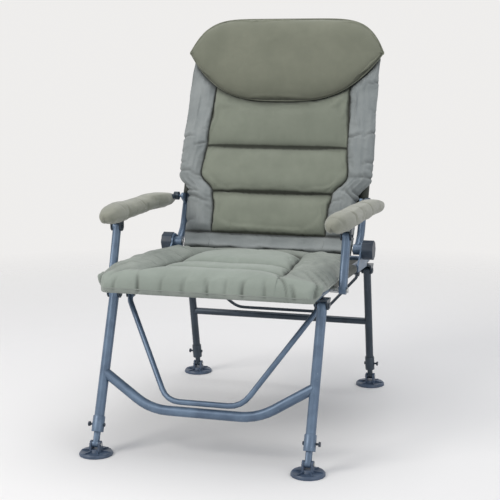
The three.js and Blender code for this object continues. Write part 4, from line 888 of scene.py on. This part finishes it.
def armrest(side_name, sign):
    """A long pad whose outline is given by its share of the length from the front."""
    low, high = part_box(f"armrest_pad_{side_name}")
    y = np.linspace(low.y, high.y, ARM_RINGS)
    level = JOINTS[f"armrest_pivot_{side_name}"]["pos_m"][2]
    share = (y - low.y) / (high.y - low.y)
    rise = through([(0, 0.0065), (0.10, 0.0080), (0.42, 0.0060), (0.6, 0.0035), (1, -0.0090)])(share)
    tall = through([(0, 0.0215), (0.12, 0.0230), (0.30, 0.0215), (0.74, 0.0195), (1, 0.0150)])(share)
    wide = through([(0, 0.0265), (0.12, 0.0280), (0.75, 0.0265), (1, 0.021)])(share)
    centre = through([(0, 0.290), (0.3, 0.3005), (0.6, 0.304), (0.8, 0.304), (1, 0.309)])(share)
    nose = crown(2 * share - 1, np.where(share < 0.5, 9, 14), 0.5) * 0.95 + 0.05
    sag = 0.004 * crown(2 * share - 1, 6, 1.0)
    angle = np.linspace(0, 2 * math.pi, ARM_SIDES, endpoint=False)
    angles, along = np.meshgrid(angle, np.arange(len(y)))
    cs, sn = np.cos(angles), np.sin(angles)
    out = np.sign(cs) * np.abs(cs) ** 0.80
    up = np.sign(sn) * np.abs(sn) ** np.where(sn > 0, 0.78, 0.9)
    folds = creases(61 + sign, 0.03, 0.4, 0.060, 0.0015, 0.0045, 0.6)
    under = np.clip(0.5 - 0.5 * sn, 0, 1)
    sunk = fold_depth(folds, under, (y - low.y)[along], 0.05)
    reach_x = (wide * nose)[along] - sunk
    reach_z = (tall * nose)[along] - sunk * 0.6
    swell = 1 + 0.02 * noise(angles, (y - low.y)[along], 0.05, 63 + sign)
    x = sign * (centre[along] + reach_x * out * swell)
    z = (level + rise)[along] + reach_z * up * swell - (sag[along] * np.clip(-sn, 0, 1))
    grid = np.stack([x, y[along], z], -1)
    count, n = grid.shape[:2]
    faces = [tuple(f) for f in sheet_faces(count, n, closed=True)]
    points = np.concatenate([grid.reshape(-1, 3), [grid[0].mean(0), grid[-1].mean(0)]])
    for k in range(n):
        faces.append((count * n, (k + 1) % n, k))
        faces.append((count * n + 1, (count - 1) * n + k, (count - 1) * n + (k + 1) % n))
    if sign > 0:
        faces = [tuple(reversed(f)) for f in faces]
    piece = new_piece(f"armrest_cloth_{side_name}", points, faces, ARM)
    # Painted shade in the folds and along the underside
    set_painted_shade(piece, np.maximum(220 * sunk, 0.45 * line((angles - UNDERSIDE) * 0.03, 0.006)))
    held = np.zeros(len(points))
    held[: count * n] = (np.abs(angles - UNDERSIDE) < UNDERSIDE_PINNED).ravel()
    inflate(piece, held, pressure=2.0, cap=0.002, grow=0.02)
    return piece


for side_name, sign in SIDES:
    pad = armrest(side_name, sign)
    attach(pad, f"armrest_{side_name}")
    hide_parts(f"armrest_pad_{side_name}")


# ---------------------------------------------------------------- slings
SLING_HALF, SLING_THICK = 0.2505, 0.0012
SLEEVE_RADIUS, SLEEVE_WRAP, SLEEVE_THICK = 0.0123, 0.93, 0.0009


def thick_sheet(name, grid, thickness):
    """Sling cloth of some thickness, on a grid of points."""
    rows, columns = grid.shape[:2]
    piece = new_piece(name, grid.reshape(-1, 3), sheet_faces(rows, columns), SLING)
    solid = piece.modifiers.new("thickness", "SOLIDIFY")
    solid.thickness = thickness
    solid.offset = 0
    return piece


def seat_sling():
    """Cloth between the seat rails, which sags a little in the middle."""
    x, a = np.meshgrid(np.linspace(-SLING_HALF, SLING_HALF, 60), np.linspace(0.0125, 0.607, 70))
    sag = -0.007 * crown(x / SLING_HALF, 2, 1) * crown((2 * a - 0.62) / 0.6, 2, 1)
    sag += 0.0006 * noise(x, a, 0.05, 41)
    return thick_sheet("seat_sling_cloth", seat_to_row(np.stack([x, a, sag], -1)), SLING_THICK)


def back_sling():
    """Cloth between the back tubes."""
    x, s = np.meshgrid(np.linspace(-SLING_HALF, SLING_HALF, 60), np.linspace(0.107, 0.520, 60))
    ahead = TUBE_AHEAD + 0.0006 * noise(x, s, 0.05, 42)
    return thick_sheet("back_sling_cloth", back_to_row(np.stack([x, ahead, s], -1)), SLING_THICK)


def sleeve(name, sign, low, high, to_row):
    """Cloth sewn round a side tube."""
    wrap = math.pi * SLEEVE_WRAP
    angle, place = np.meshgrid(np.linspace(-wrap, wrap, 30), np.linspace(low, high, 40))
    radius = SLEEVE_RADIUS + 0.0004 * noise(angle, place, 0.02, 43)
    x = sign * (RAIL_HALF + radius * np.cos(angle))
    other = radius * np.sin(angle)
    if to_row is seat_to_row:
        points = np.stack([x, place, other], -1)
    else:
        points = np.stack([x, TUBE_AHEAD + other, place], -1)
    return thick_sheet(name, to_row(points), SLEEVE_THICK)


for piece, body, node, flat in ((seat_sling(), "seat", "seat_sling", (0.501, 0.595)),
                                (back_sling(), "back", "back_sling", (0.501, 0.413))):
    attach(piece, body)
    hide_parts(node)
for side_name, sign in SIDES:
    for part, body, low, high, to_row in (("seat", "seat", 0.142, 0.440, seat_to_row),
                                          ("back", "back", 0.150, 0.516, back_to_row)):
        piece = sleeve(f"{part}_sleeve_{side_name}", sign, low, high, to_row)
        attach(piece, body)
